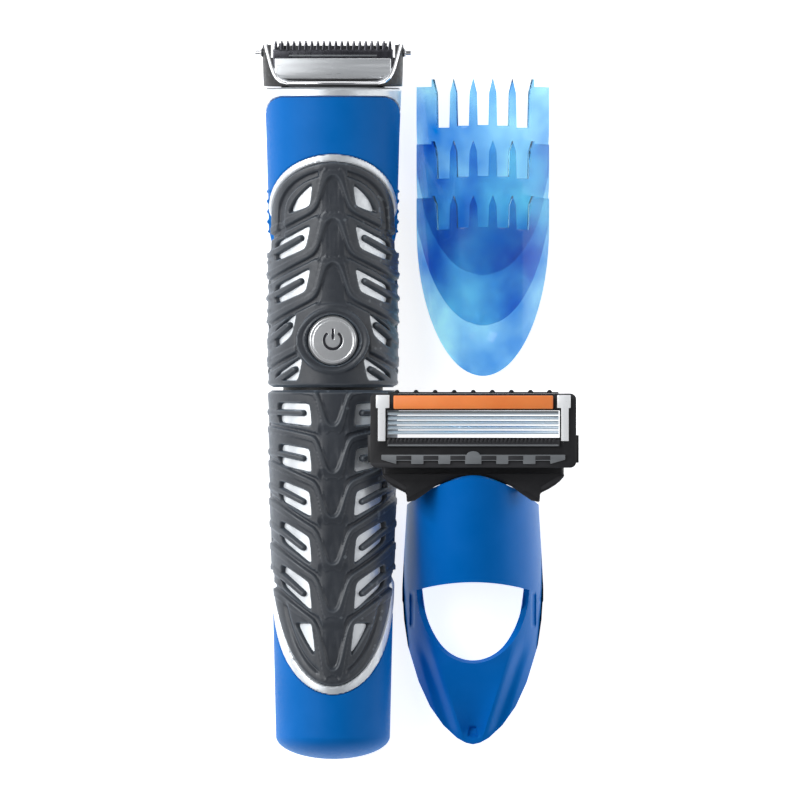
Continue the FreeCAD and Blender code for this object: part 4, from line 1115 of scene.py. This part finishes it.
ADAPTER_Y = (-69.0, -68.7, -67.7, -65.2, -61.4, -56.5, -49.2, -44.0, -40.6, -40.4, -37.6,
             -30.0, -20.9, -15.0)
ADAPTER_HALF = (0.02, 1.4, 3.2, 5.9, 8.6, 10.85, 13.05, 13.8, 14.0, 14.15, 14.15, 13.75, 13.2,
                13.15)
WINDOW_HALF = 11.2
WINDOW_Y = -38.0
ADAPTER_TAIL = -69.0
WIDE = 14.15


def adapter_half(y):
    return np.interp(y, ADAPTER_Y, ADAPTER_HALF)


def adapter_height(x, y):
    """Vault height above the table, with the thumb hollow and its two soft ridges."""
    base = 6.8 + 0.45 * (y + 11.5)
    wide = np.where(y > -40.0, np.maximum(adapter_half(y), 13.1), 14.2)
    ratio = np.clip(np.abs(x) / wide, 0, 1)
    z = base + 24.0 * np.sqrt(np.clip(1 - ratio ** 2, 0, 1))
    ridge = np.clip(6.7 + (y + 53.0) * 0.33, 2.0, 12.0)
    span = step_up(-68.6, -65.5, y) * (1 - step_up(-53.0, -46.0, y))
    hollow = np.clip(1 - (x / ridge) ** 2, 0, 1)
    z = z - 2.2 * hollow * span
    z = z - 0.9 * bump(np.abs(x) - ridge - 2.2, 0.9, 1.8) * span
    notch = bump(x, 0.55 + 0.2 * np.clip(-65.0 - y, 0, 3), 0.3) * bump(y + 66.4, 0.9, 0.5)
    z = z - 0.6 * notch
    slot = bump(np.abs(x) - 12.2, 0.35, 0.4) * bump(y + 42.0, 3.3, 0.8)
    return z - 1.0 * slot


def window_edges(nominal):
    """Upper and lower edge of the window for columns named by their widest place."""
    inside = np.abs(nominal) < WINDOW_HALF
    upper = -36.4 - 1.6 * np.clip(np.abs(nominal) / WINDOW_HALF, 0, 1) ** 2
    lower = np.full_like(nominal, WINDOW_Y)
    for _ in range(12):
        x = nominal * adapter_half(lower) / WIDE
        target = WINDOW_Y - 14.7 * np.sqrt(np.clip(1 - (x / WINDOW_HALF) ** 2, 0, 1))
        lower = 0.5 * lower + 0.5 * target
    return np.where(inside, upper, WINDOW_Y), np.where(inside, lower, WINDOW_Y)


def adapter_shell():
    """Thin vault with a window, laid out as rows above, across and below the window."""
    columns, above, across, below = 180, 64, 2, 96
    rows = above + across + below
    piece, flat = make_grid(columns, rows)
    row = np.rint((1 - flat[:, 1]) / 2 * rows)
    nominal = WIDE * np.sin(np.clip(flat[:, 0], -1, 1) * math.pi / 2)
    upper, lower = window_edges(nominal)
    top = -15.55 - 5.4 * (nominal / WIDE) ** 2
    y = np.interp(row, (0, above), (0, 1)) * (upper - top) + top
    y = np.where(row > above, upper + (lower - upper) * (row - above) / across, y)
    past = (row - above - across) / below
    y = np.where(row > above + across, lower + (ADAPTER_TAIL - lower) * past, y)
    x = nominal * adapter_half(y) / WIDE
    z = np.maximum(adapter_height(x, y), 0.0)
    place_grid(piece, RAZOR_X + x, y, z)
    open_window(piece, row, nominal, above, across)
    thicken(piece, SKIN_WALL)
    coords = vertex_array(piece.data)
    coords[:, 2] = np.maximum(coords[:, 2], 0.0)
    coords[:, 1] = np.maximum(coords[:, 1], (ADAPTER_TAIL - 0.1) * MM)
    store_vertices(piece.data, coords)
    shade(piece, 35)
    return piece


def open_window(piece, row, nominal, above, across):
    """Deletes the faces of the window and merges what has no height."""
    mesh = piece.data
    corners = np.empty(len(mesh.polygons) * 4, np.int32)
    mesh.polygons.foreach_get("vertices", corners)
    corners = corners.reshape(-1, 4)
    middle_row = row[corners].mean(axis=1)
    reach = np.abs(nominal[corners]).min(axis=1)
    chosen = (middle_row > above) & (middle_row < above + across) & (reach < WINDOW_HALF)
    activate(piece)
    bpy.ops.object.mode_set(mode="EDIT")
    bpy.ops.mesh.select_mode(type="FACE")
    bpy.ops.mesh.select_all(action="DESELECT")
    bpy.ops.object.mode_set(mode="OBJECT")
    mesh.polygons.foreach_set("select", chosen)
    bpy.ops.object.mode_set(mode="EDIT")
    bpy.ops.mesh.delete(type="FACE")
    bpy.ops.mesh.select_all(action="SELECT")
    bpy.ops.mesh.remove_doubles(threshold=4e-6)
    bpy.ops.mesh.dissolve_degenerate(threshold=2e-6)
    bpy.ops.object.mode_set(mode="OBJECT")


class BUILD_OT_adapter(Operator):
    """Builds the adapter's vault with its window, thumb hollow and ridges"""
    bl_idname = "groomer.adapter"
    bl_label = "Build Adapter"

    def execute(self, context):
        finish_piece(adapter_shell(), "adapter_vault", "adapter", "adapter_blue",
                     nodes=["adapter_hood"])
        return {"FINISHED"}


# ------------------------------------------------------------------ razor cartridge

BAND_HALF = 18.3
BAND_TOP = -10.9
SLOT_X = (-13.85, -8.45, -3.1, 3.1, 8.45, 13.85)
SLOT_HALF = 1.5


def wing_outline():
    """Plan of the yoke's full wings, its rear following the adapter's arched edge."""
    right = [(18.3, -14.8), (18.0, -15.4), (17.3, -16.2), (16.3, -17.0), (15.0, -17.8),
             (13.35, -18.6), (13.25, -20.4)]
    rear = [(x, -15.45 - 5.4 * (x / 13.15) ** 2 - lap)
            for x, lap in ((11.6, 0.4), (9.4, 0.35), (7.6, -0.02), (5, -0.05), (2.5, -0.05))]
    half = right + rear
    outline = half + [(-x, y) for x, y in reversed(half)]
    return [(RAZOR_X + x, y) for x, y in reversed(outline)]


def band_outline():
    """Grey band with the half-round rise in its middle and notched lower edge."""
    points = [(-BAND_HALF, BAND_TOP), (-BAND_HALF, -11.9)]
    for x in SLOT_X:
        points += [(x - SLOT_HALF, -12.75), (x - 1.45, -12.1), (x + 1.45, -12.1),
                   (x + SLOT_HALF, -12.75)]
    points += [(BAND_HALF, -11.9), (BAND_HALF, BAND_TOP)]
    for step in range(9):
        turn = math.radians(22.5 * step)
        points.append((1.3 * math.cos(turn), BAND_TOP + 0.7 * math.sin(turn)))
    return [(RAZOR_X + x, y) for x, y in points]


class BUILD_OT_cartridge(Operator):
    """Builds the yoke's wings and the cartridge's grey slotted band"""
    bl_idname = "groomer.cartridge"
    bl_label = "Build Cartridge Details"

    def execute(self, context):
        fork = refined_copy("cartridge_yoke", 0.25)
        wings = make_prism(wing_outline(), 21.2, 25.1, 0.45, 4)
        apron = make_block((RAZOR_X - 18.1, -15.6, 19.9), (RAZOR_X + 18.1, -12.2, 21.5), 0.6)
        finish_piece(join_pieces([fork, wings, apron]), "yoke_wings", "yoke",
                     "black_plastic", nodes=["cartridge_yoke"])
        level = float(box_mm("lower_trim")[0][2])
        band = make_prism(band_outline(), level, level + 0.5, 0.1)
        finish_piece(band, "lower_band", "cartridge", "trim_grey", nodes=["lower_trim"])
        # A light grey strip along the guard: a painted highlight line.
        line = make_block((RAZOR_X - 17.0, -9.2, level - 0.1),
                          (RAZOR_X + 17.0, -8.85, level + 0.56), 0.1)
        finish_piece(line, "guard_line", "cartridge", "trim_grey")
        slots = []
        for x in SLOT_X:
            slots.append(make_block((RAZOR_X + x - SLOT_HALF, -11.95, level + 0.4),
                                    (RAZOR_X + x + SLOT_HALF, -11.1, level + 0.56), 0.07))
        finish_piece(join_pieces(slots), "band_slots", "cartridge", "black_plastic")
        return {"FINISHED"}


# ------------------------------------------------------------------ stage

def add_area(name, place, size, power, colour=(1, 1, 1)):
    """Soft rectangular light at a place, turned towards the middle of the table."""
    light = bpy.data.lights.new(name, "AREA")
    light.shape = "RECTANGLE"
    light.size = size[0]
    light.size_y = size[1]
    light.energy = power
    light.color = colour
    item = bpy.data.objects.new(name, light)
    bpy.context.scene.collection.objects.link(item)
    item.location = place
    item.rotation_euler = (-Vector(place)).normalized().to_track_quat("-Z", "Y").to_euler()


def make_room():
    """Soft room: pale at the horizon, greyer overhead."""
    world = bpy.data.worlds.new("soft_room")
    world.use_nodes = True
    tree = world.node_tree
    place = add_node(tree, "ShaderNodeTexCoord")
    split = add_node(tree, "ShaderNodeSeparateXYZ")
    ramp = add_node(tree, "ShaderNodeValToRGB")
    low, high = ramp.color_ramp.elements
    low.color = (1.0, 1.0, 1.0, 1)
    high.position = 0.95
    high.color = (0.25, 0.26, 0.28, 1)
    middle = ramp.color_ramp.elements.new(0.6)
    middle.color = (0.75, 0.76, 0.78, 1)
    tree.links.new(place.outputs["Generated"], split.inputs["Vector"])
    tree.links.new(split.outputs["Z"], ramp.inputs["Fac"])
    back = tree.nodes["Background"]
    tree.links.new(ramp.outputs["Color"], back.inputs["Color"])
    back.inputs["Strength"].default_value = 0.5
    return world


def add_table():
    deselect()
    bpy.ops.mesh.primitive_plane_add(size=6, location=(0, 0, -0.0004))
    floor = bpy.context.object
    floor.name = "table"
    material = finish_material("table_paper", (0.9, 0.9, 0.9), 0.7, colour_drift=0.004,
                               bump_size=0.0005)
    set_shader(material, Emission_Color=(1, 1, 1, 1), Emission_Strength=0.8)
    floor.data.materials.append(material)
    floor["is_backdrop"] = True


def add_camera(settings):
    """Long lens looking straight down, framed on the handle's middle height."""
    lens_data = bpy.data.cameras.new("main_camera")
    lens_data.sensor_width = SENSOR
    reach = settings.camera_height - HALF_DEPTH * MM
    lens_data.lens = SENSOR * reach / settings.view_width
    lens_data.clip_end = 20
    camera = bpy.data.objects.new("main_camera", lens_data)
    bpy.context.scene.collection.objects.link(camera)
    camera.location = (CAMERA_X * MM, 0.0, settings.camera_height)
    bpy.context.scene.camera = camera


class BUILD_OT_stage(Operator):
    """Sets the pale table, soft lights and the camera straight above"""
    bl_idname = "groomer.stage"
    bl_label = "Build Stage"

    def execute(self, context):
        add_table()
        context.scene.world = make_room()
        add_area("key_left", (-0.55, 0.2, 0.5), (0.5, 0.8), 4.2)
        add_area("edge_light", (-0.5, 0.4, 0.5), (0.08, 0.25), 1.4, (0.9, 0.96, 1.0))
        add_area("fill_right", (0.6, 0.1, 0.35), (0.25, 0.8), 0.9)
        add_camera(context.scene.stage_settings)
        context.scene.view_settings.view_transform = "Standard"
        return {"FINISHED"}


class BUILD_PT_panel(Panel):
    bl_idname = "BUILD_PT_panel"
    bl_label = "Body Groomer"
    bl_space_type = "VIEW_3D"
    bl_region_type = "UI"
    bl_category = "Groomer"

    def draw(self, context):
        layout = self.layout
        scene = context.scene
        for settings in (scene.handle_settings, scene.colour_settings, scene.stage_settings):
            column = layout.column()
            for key in settings.__annotations__:
                column.prop(settings, key)
        for operator in OPERATORS:
            layout.operator(operator.bl_idname)


OPERATORS = (BUILD_OT_finishes, BUILD_OT_upper_handle, BUILD_OT_battery_cover,
             BUILD_OT_power_button, BUILD_OT_refined, BUILD_OT_trimmer_head,
             BUILD_OT_adapter, BUILD_OT_cartridge, BUILD_OT_stage)
SETTINGS = (HandleSettings, ColourSettings, StageSettings)


def register():
    for kind in SETTINGS + OPERATORS + (BUILD_PT_panel,):
        bpy.utils.register_class(kind)
    bpy.types.Scene.handle_settings = PointerProperty(type=HandleSettings)
    bpy.types.Scene.colour_settings = PointerProperty(type=ColourSettings)
    bpy.types.Scene.stage_settings = PointerProperty(type=StageSettings)


def unregister():
    del bpy.types.Scene.stage_settings
    del bpy.types.Scene.colour_settings
    del bpy.types.Scene.handle_settings
    for kind in reversed(SETTINGS + OPERATORS + (BUILD_PT_panel,)):
        bpy.utils.unregister_class(kind)


def write_sizes():
    boxes = {"cad": CAD_BOX, "visual": [list(corner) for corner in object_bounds()]}
    boxes = {key: [[float(v) for v in corner] for corner in rows] for key, rows in boxes.items()}


def main():
    register()
    bpy.ops.groomer.finishes()
    bpy.ops.groomer.upper_handle()
    bpy.ops.groomer.battery_cover()
    bpy.ops.groomer.power_button()
    bpy.ops.groomer.refined()
    bpy.ops.groomer.trimmer_head()
    bpy.ops.groomer.adapter()
    bpy.ops.groomer.cartridge()
    bpy.ops.groomer.stage()
    write_sizes()


if __name__ == "__main__":
    main()
